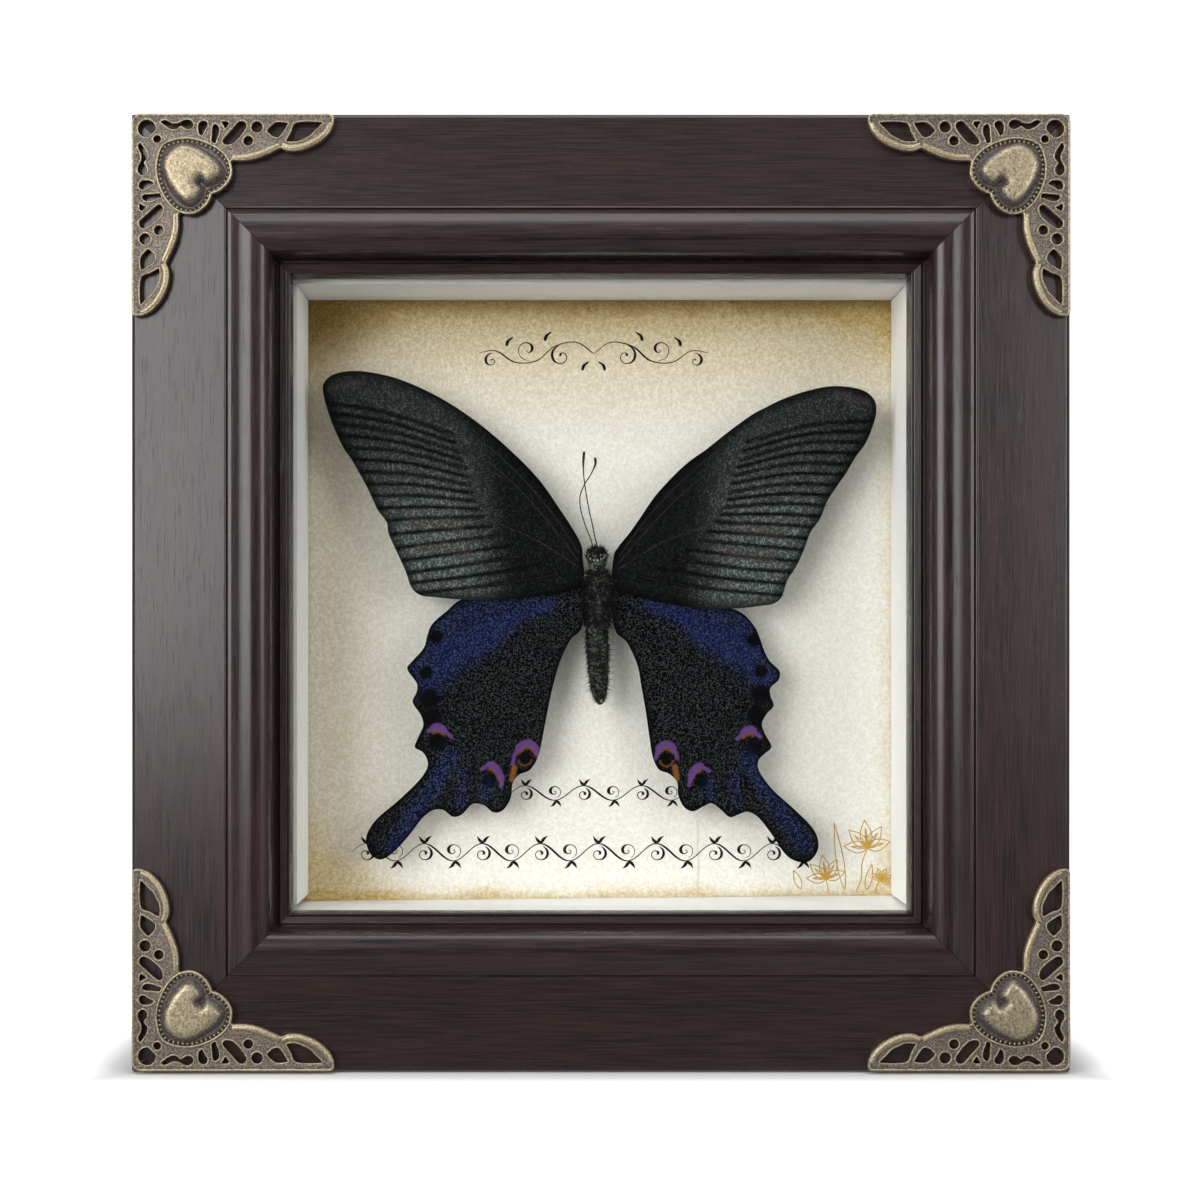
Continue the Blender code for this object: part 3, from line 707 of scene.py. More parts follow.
def make_moulding():
    """A length of moulding with mitred ends, turned to its side of the frame."""
    names = ("half_length", "outer_edge", "turn", "mid_height", "mitre_gap")
    tree = Recipe("moulding", **{name: "Float" for name in names})
    half, outer, turn, mid, gap = [tree.given(name) for name in names]
    line = {"Start": (-1.0, 0.0, 0.0), "End": (1.0, 0.0, 0.0)}
    path = tree.node("GeometryNodeCurvePrimitiveLine", None, line)
    inputs = {"Curve": path, "Profile Curve": tree.given("carrier"), "Fill Caps": True}
    bar = tree.node("GeometryNodeCurveToMesh", None, inputs)
    x, y, z = tree.parts(tree.node("GeometryNodeInputPosition"))
    along = x * (half - z - gap)
    up = z - outer
    turned_x = along * turn.cosine() + up * turn.sine()
    turned_z = up * turn.cosine() - along * turn.sine() + mid
    inputs = {"Geometry": bar, "Position": tree.joined(turned_x, y, turned_z)}
    tree.end(tree.node("GeometryNodeSetPosition", None, inputs))
    return tree


def volume(mesh):
    """The space inside a closed mesh, below zero when its faces point inwards."""
    bm = bmesh.new()
    bm.from_mesh(mesh)
    size = bm.calc_volume(signed=True)
    bm.free()
    return size


def add_rails():
    """Four lengths of moulding, each a quarter turn from the last."""
    moulding = make_moulding()
    inward, depth = rail_section().T
    flat = np.stack([-(depth + BAND_Y), -inward, np.zeros(len(depth))], axis=1) * METRES
    grains = {True: wood_finish("mahogany_across", True), False: wood_finish("mahogany_upright", False)}
    for quarters, side in enumerate(RAIL_SIDES):
        level = quarters % 2 == 0
        half, outer = (HALF_WIDTH, MID_HEIGHT) if level else (MID_HEIGHT, HALF_WIDTH)
        sizes = {"half_length": half, "outer_edge": outer, "mid_height": MID_HEIGHT, "mitre_gap": MITRE_GAP}
        carrier = strokes_curve([(flat, 1.0)], closed=True)
        turn = quarters * math.pi / 2
        mesh = moulding.make(carrier, grains[level], turn=turn, **in_metres(sizes))
        if volume(mesh) < 0:
            mesh.flip_normals()
        add_piece("moulding_" + side, smooth(mesh, 32), grains[level], "frame_wood", "rail_" + side)


# Corner brackets --------------------------------------------------------------------------------
# Plan points are (u, v) from a bracket's outer corner: u along one edge and v along the other. One
# arm is drawn, and the other is its mirror across u = v.

BRACKET_INSET = 0.5
BRACKET_BACK = 0.3
BRACKET_SPACING = 0.36
RING_STEP, OUTLINE_STEP = 0.3, 0.35
FIELD_TOP = 1.25
HEART_TOP = 3.2
HEART_MIDDLE = (12.2, 12.2)
CHANNEL_START, CHANNEL_FLOOR, CHANNEL_RISE, CHANNEL_END = 0.25, 0.42, 1.00, 1.14
LINE_END = 1.30
HEART_CREASES = (0.3, 0.8)
HOLE_RIM, RING_RIM, OUTER_RIM = 0.17, 0.26, 0.25
BEAD_SHIFT, BEAD_RISE, BEAD_RADIUS = 0.75, 1.02, 0.78
STUD_COUNT = 46
STUD_SIZE = (0.34, 0.62, 0.72)
STUD_INSET, STUD_DROP = 0.68, 0.28
RUBBED = 0.85

OUTER_EDGE = [(1.9, 0.0), (41.9, 0.0), (42.7, 0.25), (42.95, 0.9), (42.8, 2.2)]
LOWER_EDGE = [
    (42.8, 2.2), (41.9, 4.0), (40.2, 5.7), (38.2, 6.9), (35.8, 7.75), (33.4, 7.9), (31.6, 7.25),
]
SECOND_SWEEP = [(31.6, 7.25), (29.3, 8.35), (26.8, 9.35), (24.2, 9.9), (21.3, 9.9)]
RING_HALF = [
    (6.5, 6.5), (8.2, 5.6), (11.2, 5.05), (14.1, 5.4), (17.0, 6.5), (19.1, 7.9), (20.5, 9.5),
    (21.15, 11.2), (21.2, 12.8), (20.6, 14.3), (19.4, 15.7), (18.0, 16.6), (16.9, 16.9),
]
HEART_HALF = [
    (7.9, 7.9), (9.3, 6.95), (11.0, 6.55), (13.2, 6.95), (16.4, 8.6), (18.5, 10.4), (19.4, 12.0),
    (18.9, 13.5), (17.3, 14.8), (15.6, 15.1), (14.3, 14.3),
]
ARM_HOLES = [
    [
        (5.97, 1.70), (6.87, 1.18), (7.62, 1.40), (8.81, 1.92), (10.0, 1.77), (10.9, 1.25), (11.95, 1.10),
        (12.77, 1.47), (13.2, 2.15), (13.07, 2.82), (12.4, 3.34), (11.5, 3.34), (10.9, 3.0), (10.45, 2.67),
        (10.0, 3.0), (9.4, 3.42), (8.5, 3.42), (7.6, 3.04), (6.87, 2.52), (6.27, 2.07),
    ],
    [
        (15.3, 1.32), (16.1, 1.77), (16.2, 2.67), (15.7, 3.4), (15.3, 4.16), (14.9, 4.83), (14.2, 4.3),
        (13.96, 3.4), (14.0, 2.2), (14.5, 1.55),
    ],
    [
        (17.5, 2.0), (18.4, 2.45), (18.7, 3.4), (18.5, 4.6), (18.1, 5.5), (17.85, 6.4), (16.9, 6.1),
        (16.75, 5.5), (16.9, 4.0), (17.0, 2.7),
    ],
    [
        (19.0, 1.5), (20.2, 1.5), (20.75, 1.9), (20.5, 2.5), (20.0, 3.2), (19.6, 3.1), (19.3, 2.4),
        (18.9, 1.9),
    ],
    [
        (22.7, 1.51), (23.87, 1.56), (24.4, 2.16), (24.35, 3.06), (23.5, 4.36), (22.4, 5.66), (21.3, 6.5),
        (19.8, 6.7), (19.1, 5.8), (19.7, 4.76), (21.2, 3.1),
    ],
    [
        (30.54, 1.67), (32.8, 1.79), (33.2, 2.2), (31.4, 4.93), (29.9, 4.93), (29.2, 4.36), (28.6, 3.7),
        (28.8, 3.06),
    ],
    [
        (34.86, 1.75), (40.3, 1.67), (40.0, 2.57), (39.0, 3.54), (37.9, 4.68), (36.6, 5.33), (35.1, 5.99),
        (33.15, 5.99), (32.66, 5.66), (33.6, 3.87),
    ],
]
ROUND_HOLES = [((26.55, 2.81), 1.35), ((24.68, 5.74), 1.17)]
CORNER_EYE = ((5.38, 5.36), 0.97)
CORNER_DISC = ((3.2, 3.15), 2.05)


def mirrored(path):
    """A plan path mirrored across the diagonal and walked the other way."""
    return np.asarray(path)[::-1, ::-1]


def both_halves(half):
    """A closed outline from the half on one side of the diagonal."""
    return np.concatenate([half[:-1], mirrored(half)[:-1]])


def spread(path, spacing):
    """The same closed path with its points evenly spaced."""
    ring = np.concatenate([path, path[:1]])
    length = np.concatenate([[0.0], np.cumsum(np.hypot(*np.diff(ring, axis=0).T))])
    count = max(8, round(length[-1] / spacing))
    marks = np.linspace(0.0, length[-1], count, endpoint=False)
    return np.stack([np.interp(marks, length, ring[:, 0]), np.interp(marks, length, ring[:, 1])], axis=1)


def offset(path, amount):
    """An open path moved sideways, to the left of its direction."""
    along = np.gradient(path, axis=0)
    along /= np.hypot(along[:, 0], along[:, 1])[:, None]
    return path + np.stack([-along[:, 1], along[:, 0]], axis=1) * amount


def ring_inset(ring, amount):
    """A closed path moved towards its own inside."""
    ahead, behind = np.roll(ring, -1, axis=0), np.roll(ring, 1, axis=0)
    along = ahead - behind
    along /= np.hypot(along[:, 0], along[:, 1])[:, None]
    moved = ring + np.stack([-along[:, 1], along[:, 0]], axis=1) * amount
    area = np.sum(ring[:, 0] * ahead[:, 1] - ahead[:, 0] * ring[:, 1])
    return moved if area > 0 else 2 * ring - moved


def bracket_plan():
    """Outline, holes, beads, ring and heart of a bracket in plan."""
    ring = both_halves(flowing(RING_HALF, 6))
    heart = ring_inset(both_halves(flowing(HEART_HALF, 6)), -0.35)
    lower = np.concatenate([flowing(LOWER_EDGE, 6)[:-1], flowing(SECOND_SWEEP, 6)])
    past_ring = flowing(RING_HALF, 6)
    past_ring = past_ring[past_ring[:, 1] > 10.1]
    arm = np.concatenate([OUTER_EDGE, lower, past_ring[past_ring[:, 0] > 16.95]])
    corner = arc((1.9, 1.9), 1.9, 180, 270, 8)[1:-1]
    outline = np.concatenate([arm, mirrored(arm), corner])
    disc = arc(*CORNER_DISC, 80, 370, 16)
    holes = [spread(disc, RING_STEP), spread(arc(*CORNER_EYE, 0, 345, 23), RING_STEP)]
    for shape in ARM_HOLES:
        hole = spread(flowing(shape, 5, closed=True), RING_STEP)
        holes += [hole, mirrored(hole)]
    for centre, radius in ROUND_HOLES:
        hole = arc(centre, radius, 0, 345, 23)
        holes += [hole, mirrored(hole)]
    beads = [offset(flowing(path, 6), BEAD_SHIFT) for path in (LOWER_EDGE, SECOND_SWEEP)]
    return spread(outline, OUTLINE_STEP), holes, beads, spread(ring, RING_STEP), spread(heart, RING_STEP)


def bracket_relief(points, outline, holes, ring, heart):
    """Height above the plate's back and how rubbed the metal is, for each plan point."""
    ring_in = np.where(inside(points, [ring]), ring_distance(points, ring), 0.0)
    heart_in = np.where(inside(points, [heart]), ring_distance(points, heart), 0.0)
    edge_in = ring_distance(points, outline)
    hole_out = np.min([ring_distance(points, hole) for hole in holes], axis=0)
    rise = np.sqrt(1 - (1 - np.clip(heart_in / 1.8, 0.0, 1.0)) ** 2)
    crown = 1 - np.clip(np.hypot(*(points - HEART_MIDDLE).T) / 14.0, 0.0, 1.0) ** 2
    dome = 1.9 * rise + 0.35 * crown * step(heart_in, 0.0, 2.3)
    channel = step(ring_in, CHANNEL_START, CHANNEL_FLOOR) * step(ring_in, CHANNEL_END, CHANNEL_RISE)
    inner_line = step(ring_in, 1.0, 1.10) * step(ring_in, LINE_END, 1.16)
    valley = step(ring_in, 1.1, 1.35)
    height = FIELD_TOP - 0.55 * channel + 0.22 * inner_line - 0.30 * valley * (heart_in <= 0)
    height = np.where(heart_in > 0, HEART_TOP - 2.25 + dome, height)
    band = step(edge_in, 1.6, 1.3) * (np.minimum(points[:, 0], points[:, 1]) < 1.6)
    height = np.maximum(height, FIELD_TOP + 0.12 * band)
    lip = step(np.minimum(edge_in, hole_out), 0.45, 0.1)
    proud = np.maximum.reduce([0.2 * band, 0.5 * lip, 0.8 * inner_line, 0.75 * step(heart_in, 0.4, 1.6)])
    proud = np.where(channel > 0.4, -1.0, proud)
    proud = np.where((valley > 0.5) & (heart_in < 0.25), -0.2, proud)
    proud = np.where((proud == 0) & (heart_in <= 0), 0.28, proud)
    return height, proud


def make_studs():
    """Little bars set at even steps along a ring and square to it."""
    tree = Recipe("studs", count="Int", size="Vector")
    inputs = {"Curve": tree.given("carrier"), "Count": tree.given("count")}
    points = tree.node("GeometryNodeCurveToPoints", {"mode": "COUNT"}, inputs)
    tangent = Value(tree, points.socket.node.outputs["Tangent"])
    settings = {"axis": "X", "pivot_axis": "Y"}
    turn = tree.node("FunctionNodeAlignRotationToVector", settings, {"Vector": tangent})
    bar = tree.node("GeometryNodeMeshCube", None, {"Size": tree.given("size")})
    inputs = {"Points": points, "Instance": bar, "Rotation": turn}
    tree.end(tree.node("GeometryNodeInstanceOnPoints", None, inputs))
    return tree


def bead_taper(count):
    """Thickness along a bead: full in the middle and a little thinner at both ends."""
    share = np.linspace(0.0, 1.0, count)
    return 0.72 + 0.28 * np.sin(np.pi * share) ** 0.7


def bracket_mesh(side_x, side_z, plan, plate_mesh, studs, bronze):
    """One bracket: the pierced plate with its rims, its beaded edges and the studs round its heart."""
    outline, holes, beads, ring, _ = plan
    points, faces, height, proud = plate_mesh

    def place(path, rise):
        x = side_x * (HALF_WIDTH - BRACKET_INSET - path[:, 0])
        z = MID_HEIGHT + side_z * (MID_HEIGHT - BRACKET_INSET - path[:, 1])
        return at(x, -BRACKET_BACK - rise, z)

    plate = solid(place(points, height), place(points, 0.0), faces, {"proud": proud})
    rims = [(place(hole, FIELD_TOP + 0.02), HOLE_RIM) for hole in holes]
    rims.append((place(ring_inset(ring, 0.12), FIELD_TOP + 0.14), RING_RIM))
    rims.append((place(ring_inset(outline, 0.26), FIELD_TOP + 0.08), OUTER_RIM))
    rubbed = [swept(rims, bronze, sides=6, closed=True)]
    for bead in beads:
        thick = BEAD_RADIUS * bead_taper(len(bead))
        for path, radius in ((bead, thick), (mirrored(bead), thick[::-1])):
            rubbed.append(swept([(place(path, BEAD_RISE), radius)], bronze, sides=12))
    channel = place(ring_inset(ring, STUD_INSET), FIELD_TOP - STUD_DROP)
    size = tuple(part * METRES for part in STUD_SIZE)
    channel_line = strokes_curve([(channel, 1.0)], closed=True)
    rubbed.append(studs.make(channel_line, bronze, count=STUD_COUNT, size=size))
    for part in rubbed:
        layer = part.attributes.new("proud", "FLOAT", "POINT")
        layer.data.foreach_set("value", np.full(len(part.vertices), RUBBED, np.float32))
    return joined_mesh([smooth(plate, 50), *rubbed])


def add_brackets():
    """The same bracket in all four corners, mirrored across and up."""
    bronze = bronze_finish()
    studs = make_studs()
    plan = outline, holes, _, ring, heart = bracket_plan()
    ring_creases = (CHANNEL_START, CHANNEL_FLOOR, CHANNEL_RISE, CHANNEL_END, LINE_END)
    creases = [ring_inset(ring, amount) for amount in ring_creases]
    creases += [heart, *(ring_inset(heart, amount) for amount in HEART_CREASES)]
    points, faces = filled([outline, *holes], BRACKET_SPACING, creases)
    plate_mesh = points, faces, *bracket_relief(points, outline, holes, ring, heart)
    for row, side_z in (("top", 1), ("bottom", -1)):
        for column, side_x in (("left", -1), ("right", 1)):
            mesh = bracket_mesh(side_x, side_z, plan, plate_mesh, studs, bronze)
            name = f"{row}_{column}"
            add_piece("bracket_" + name, mesh, bronze, "bracket_bronze", "corner_bracket_" + name)


# Wings ------------------------------------------------------------------------------------------
# Wing places are (x, z) on the specimen, and each list of veins runs from the tip down.

WING_THICKNESS = 0.18
FOREWING_SPACING = 0.42
HINDWING_SPACING = 0.27
VEIN_RADIUS, CELL_VEIN_RADIUS = 0.11, 0.17
VEIN_SINK = 0.04


def cad_outline(node):
    """The outline of a flat CAD piece as (x, z) in mm, walked round its front face."""
    bm = bmesh.new()
    bm.from_mesh(frame["nodes"][node].data)
    bmesh.ops.remove_doubles(bm, verts=bm.verts[:], dist=1e-6)
    bm.normal_update()
    after = {}
    for face in bm.faces:
        if face.normal.y > -0.9:
            continue
        for loop in face.loops:
            across = loop.link_loop_radial_next.face
            if across.normal.y > -0.9:
                after[loop.vert.index] = loop.link_loop_next.vert.index
    bm.verts.ensure_lookup_table()
    first = current = next(iter(after))
    path = []
    while True:
        place = bm.verts[current].co
        path.append((place.x / METRES, place.z / METRES))
        current = after[current]
        if current == first:
            break
    bm.free()
    return np.array(path)


FOREWING_VEINS = {
    "left": [
        [(-33.0, 138.5), (-47.0, 143.0), (-61.2, 145.5)],
        [(-31.5, 134.5), (-46.0, 138.8), (-60.2, 141.0)],
        [(-30.0, 130.8), (-44.0, 134.4), (-57.6, 135.6)],
        [(-29.0, 127.0), (-42.0, 129.4), (-54.2, 130.0)],
        [(-28.0, 123.4), (-40.5, 124.6), (-51.4, 124.6)],
        [(-26.0, 119.8), (-38.0, 119.6), (-48.2, 119.0)],
        [(-22.5, 115.6), (-35.0, 114.2), (-45.9, 112.8)],
        [(-17.0, 111.2), (-30.5, 109.0), (-43.5, 107.2)],
        [(-9.0, 107.0), (-24.0, 104.6), (-40.6, 102.8)],
    ],
    "right": [
        [(33.5, 136.8), (47.5, 140.4), (61.6, 141.4)],
        [(32.0, 132.8), (46.0, 136.4), (59.4, 136.6)],
        [(30.4, 129.2), (44.0, 131.8), (56.6, 131.6)],
        [(29.4, 125.4), (42.0, 127.2), (53.8, 127.0)],
        [(28.2, 122.0), (40.5, 122.8), (51.4, 122.4)],
        [(26.4, 118.6), (38.2, 118.2), (48.8, 117.6)],
        [(22.8, 114.6), (35.4, 113.4), (46.4, 112.4)],
        [(17.2, 110.4), (31.0, 108.4), (44.2, 107.4)],
        [(9.2, 106.4), (24.4, 103.8), (41.6, 102.2)],
    ],
}
CELL_VEINS = {
    "left": [
        [(-4.6, 110.0), (-12.0, 119.5), (-21.0, 129.0), (-31.5, 137.0), (-44.0, 144.2), (-56.0, 149.4)],
        [(-4.4, 111.6), (-11.5, 122.0), (-20.5, 131.8), (-31.0, 140.2), (-43.0, 147.2)],
        [(-4.6, 108.6), (-14.0, 114.6), (-22.5, 118.5), (-28.5, 124.0), (-31.5, 137.0)],
    ],
    "right": [
        [(4.6, 109.6), (12.0, 118.2), (21.0, 127.0), (31.5, 134.8), (44.0, 141.4), (56.0, 145.4)],
        [(4.6, 111.0), (11.5, 120.4), (20.5, 129.6), (31.0, 137.8), (43.0, 144.0)],
        [(4.6, 108.2), (14.0, 114.0), (22.5, 117.4), (28.5, 122.6), (31.5, 134.8)],
    ],
}
BLUSH_STREAKS = {
    "left": [
        ((-42.0, 118.6), (-31.0, 117.8)), ((-40.5, 113.0), (-29.0, 112.4)),
        ((-60.0, 148.6), (-54.0, 150.0)),
    ],
    "right": [
        ((31.0, 117.2), (41.0, 116.0)), ((28.5, 112.2), (39.0, 110.0)),
        ((54.0, 147.2), (60.0, 145.6)),
    ],
}


def forewing_shape(side, outline):
    """Sheet, marks and heights of a forewing."""
    edge_line = flowing(outline, 4, closed=True)
    points, faces = filled([edge_line], FOREWING_SPACING)
    veins = [flowing(path, 8) for path in FOREWING_VEINS[side]]
    folds = [(first + second) / 2 for first, second in zip(veins, veins[1:])]
    to_line = np.min([nearest(points, path) for path in veins + folds], axis=0)
    to_vein = np.min([nearest(points, path) for path in veins], axis=0)
    margin = ring_distance(points, edge_line)
    across = np.abs(points[:, 0])
    outward = step(across - (points[:, 1] - 100.0) * 0.12, 17.0, 33.0)
    lower = step(points[:, 1] + (across - 40.0) * 0.25, 146.0, 108.0)
    hem = step(margin, 0.4, 3.0)
    blush = [step(nearest(points, np.array(streak)), 1.5, 0.2) for streak in BLUSH_STREAKS[side]]
    marks = {
        "fold": step(to_line, 0.12, 0.75),
        "band": np.clip((0.05 + outward * (0.28 + 0.75 * lower)) * (0.35 + 0.65 * hem), 0.0, 1.0),
        "blush": np.max(blush, axis=0),
        "margin": margin,
    }
    pleat = 0.22 * step(to_line, 1.2, 0.0) + 0.10 * step(to_vein, 0.5, 0.0)
    droop = 0.9 * step(across, 30.0, 62.0) * step(points[:, 1], 100.0, 130.0)
    bulge = -0.7 * step(margin, 0.0, 14.0)
    return points, faces, marks, pleat * step(margin, 0.0, 1.5) + bulge - droop


BLUE_FIELD = [
    (8.0, 103.0), (26.0, 104.0), (36.0, 99.5), (44.0, 92.0), (44.0, 77.0), (35.6, 77.4), (31.6, 82.6),
    (22.4, 89.0), (16.6, 94.8), (9.0, 98.0),
]
BLUE_RIDGES = [
    [(10.0, 100.0), (22.0, 96.4), (31.0, 92.6), (36.4, 89.4)],
    [(20.0, 93.8), (28.0, 90.4), (33.0, 87.4), (38.0, 83.0)],
]
TAIL_AXIS = [(33.5, 66.0), (36.4, 60.4), (41.2, 53.4), (46.2, 46.2)]
LOBES = [((30.5, 62.0), (31.0, 55.5)), ((25.0, 60.0), (25.6, 56.5))]
SPOTS = {
    "left": [
        ((-36.6, 93.0), 2.0), ((-38.9, 84.8), 1.9), ((-38.2, 79.0), 2.9), ((-37.4, 74.6), 3.0),
        ((-36.4, 69.4), 2.6), ((-24.6, 60.6), 2.0),
    ],
    "right": [
        ((34.9, 92.2), 2.0), ((36.5, 85.2), 1.9), ((36.4, 80.0), 2.8), ((35.6, 75.0), 2.9),
        ((35.0, 68.2), 2.6), ((23.2, 60.4), 2.0),
    ],
}
CRESCENTS = {
    "left": [
        [(-38.3, 71.7), (-36.0, 72.7), (-33.2, 70.4)],
        [(-26.3, 63.2), (-23.9, 64.1), (-22.0, 61.3), (-22.0, 59.2)],
        [(-19.4, 64.3), (-18.5, 67.3), (-16.1, 69.1), (-14.2, 67.8), (-13.3, 65.6), (-14.6, 63.4)],
    ],
    "right": [
        [(31.2, 69.9), (33.9, 72.2), (36.4, 70.4)],
        [(20.4, 59.5), (21.0, 62.2), (22.6, 63.8), (24.9, 62.7)],
        [(12.9, 65.6), (13.6, 67.8), (15.2, 68.8), (16.9, 67.8), (17.7, 65.6)],
    ],
}
AMBER = {"left": ((-19.0, 63.4), (-19.5, 60.8)), "right": ((17.2, 63.6), (17.6, 60.9))}
EYES = {"left": ((-16.6, 65.4), 2.1), "right": ((15.3, 65.2), 2.1)}


def hindwing_shape(side, outline):
    """Sheet, marks and heights of a hindwing, tucked up under the forewing near its root."""
    sign = -1 if side == "left" else 1
    near_root = step(np.abs(outline[:, 0]), 24.0, 6.0) * (outline[:, 1] > 100.5)
    outline = outline + near_root[:, None] * (0.0, 2.6)
    edge_line = flowing(outline, 5, closed=True)
    points, faces = filled([edge_line], HINDWING_SPACING)
    margin = ring_distance(points, edge_line)
    flipped = points * (sign, 1)

    def near(path):
        return nearest(flipped, np.array(path, float))

    field = np.array(BLUE_FIELD)
    blue = np.where(inside(flipped, [field]), step(ring_distance(flipped, field), 0.0, 3.0), 0.0)
    ridge = np.max([step(near(path), 2.2, 0.3) for path in BLUE_RIDGES], axis=0)
    blue = blue * (0.62 + 0.38 * ridge)
    tail = step(near(TAIL_AXIS), 3.0, 0.8)
    lobes = np.max([step(near(lobe), 2.4, 0.5) for lobe in LOBES], axis=0)
    spots = []
    for centre, radius in [*SPOTS[side], EYES[side]]:
        spots.append(step(np.hypot(*(points - centre).T), radius, radius * 0.55))
    violet, amber = [], [step(nearest(points, np.array(AMBER[side])), 0.85, 0.35)]
    for path in CRESCENTS[side]:
        line = flowing(path, 8)
        middle = line[len(line) // 4 : -len(line) // 4]
        violet.append(step(nearest(points, line), 0.55, 0.30))
        violet.append(step(nearest(points, middle), 0.90, 0.60))
        amber.append(step(nearest(points, middle - (0.0, 1.0)), 0.60, 0.25) * 0.75)
    inner_eye = step(nearest(points, arc(EYES[side][0], 1.45, 190, 350, 11)), 0.30, 0.1) * 0.6
    marks = {
        "blue": blue,
        "tail": np.maximum(tail, lobes * 0.7),
        "spot": np.max(spots, axis=0),
        "violet": np.max(violet, axis=0),
        "orange": np.maximum(np.max(amber, axis=0), inner_eye),
        "margin": margin,
    }
    across = np.abs(points[:, 0])
    ripple = 0.25 * np.sin(points[:, 1] * 0.55 + across * 0.25) * step(margin, 0.0, 6.0)
    droop = 0.5 * step(across, 28.0, 50.0)
    return points, faces, marks, ripple - droop - 0.25 * step(margin, 0.0, 8.0)


def add_veins(node, side, points, lift, skin):
    """Raised veins on a forewing, following its surface."""
    strokes = []
    routes = [(path, VEIN_RADIUS) for path in FOREWING_VEINS[side]]
    routes += [(path, CELL_VEIN_RADIUS) for path in CELL_VEINS[side]]
    for path, thick in routes:
        line = flowing(path, 12)
        near = np.argmin(((points[None] - line[:, None]) ** 2).sum(axis=2), axis=1)
        depth = FOREWING_DEPTH + lift[near] + VEIN_SINK
        share = np.linspace(1.0, 0.55, len(line))
        strokes.append((at(line[:, 0], depth, line[:, 1]), thick * share))
    add_piece(node + "_veins", swept(strokes, skin, sides=5), skin, "forewing_scales")


def add_wings():
    """Four scaled sheets in place of the plain wings, with raised veins on the forewings."""
    scales = {"fore": forewing_finish(), "hind": hindwing_finish()}
    vein_skin = insect_finish("vein_skin", (0.006, 0.005, 0.005), (0.030, 0.026, 0.024), 0.42)
    depths = {"fore": FOREWING_DEPTH, "hind": HINDWING_DEPTH}
    shapes = {"fore": forewing_shape, "hind": hindwing_shape}
    for pair, shape in shapes.items():
        for side in ("left", "right"):
            node = f"{pair}wing_{side}"
            points, faces, marks, lift = shape(side, cad_outline(node))
            x, z = points.T
            depth = depths[pair] + lift
            mesh = solid(at(x, depth, z), at(x, depth + WING_THICKNESS, z), faces, marks)
            mesh = smooth(mesh, 60)
            add_piece(node + "_scales", mesh, scales[pair], pair + "wing_scales", node)
            if pair == "fore":
                add_veins(node, side, points, lift, vein_skin)


# Body -------------------------------------------------------------------------------------------

# Each section of the body is (z, x of its middle, half its width, half its depth).
BODY_SECTIONS = [
    (77.6, 0.3, 0.3, 0.4), (78.2, 0.3, 0.9, 1.0), (79.2, 0.25, 1.35, 1.45), (81.5, 0.1, 1.9, 1.9),
    (86.0, -0.1, 2.3, 2.3), (91.0, -0.3, 2.5, 2.5), (95.4, -0.4, 2.35, 2.4), (97.6, -0.3, 2.7, 2.9),
    (101.5, -0.2, 3.0, 3.2), (105.5, -0.2, 2.8, 2.9), (108.2, -0.2, 1.8, 1.9), (109.6, -0.3, 2.2, 2.0),
    (111.0, -0.4, 2.35, 1.9), (112.3, -0.4, 1.8, 1.4), (113.0, -0.4, 0.7, 0.7),
]
ABDOMEN_RINGS = [79.6, 81.8, 84.2, 86.8, 89.4, 92.0, 94.4]
BODY_SIDES = 28
BODY_X = -0.4
EYE_SIZE = (0.80, 0.85, 1.0)
DOT_SIZE = (0.14, 0.14, 0.17)
HEAD_DOTS = [
    (-1.5, 110.4), (-0.75, 110.1), (0.1, 110.1), (0.9, 110.4), (0.8, 111.3), (-0.9, 111.2), (1.6, 110.7),
]
ABDOMEN_TIP = (0.55, -1.0, 78.9, (0.30, 0.35, 0.85))
# Each coat is low and high z, hairs to the square mm, length, thickness and lean.
COATS = {
    "thorax": (95.5, 108.0, 6.0, 1.7, 0.085, (0.0, 0.0, -0.5)),
    "head": (110.6, 113.2, 9.0, 1.0, 0.080, (0.0, 0.0, 1.1)),
    "abdomen": (78.5, 96.0, 5.0, 0.9, 0.060, (0.0, 0.0, -1.3)),
    "stray": (79.0, 109.0, 0.7, 1.9, 0.060, (0.0, 0.0, -0.4)),
}


def body_mesh():
    """One loft of oval sections, pinched in at the joints between the abdomen's rings."""
    rows = flowing(BODY_SECTIONS, 5)
    turn = np.linspace(0.0, 2 * np.pi, BODY_SIDES, endpoint=False)
    bm = bmesh.new()
    ring = None
    for z, x, half_width, half_depth in rows:
        pinch = 1 - 0.07 * max(math.exp(-(((z - joint) / 0.3) ** 2)) for joint in ABDOMEN_RINGS)
        across = x + half_width * pinch * np.cos(turn)
        depth = BODY_DEPTH + half_depth * pinch * np.sin(turn)
        new = [bm.verts.new(point) for point in at(across, depth, z)]
        if ring is None:
            bm.faces.new(new[::-1])
        else:
            for i in range(BODY_SIDES):
                bm.faces.new((ring[i - 1], ring[i], new[i], new[i - 1]))
        ring = new
    bm.faces.new(ring)
    bmesh.ops.recalc_face_normals(bm, faces=bm.faces[:])
    if bm.calc_volume(signed=True) < 0:
        bmesh.ops.reverse_faces(bm, faces=bm.faces[:])
    mesh = bpy.data.meshes.new("body")
    bm.to_mesh(mesh)
    bm.free()
    return mesh


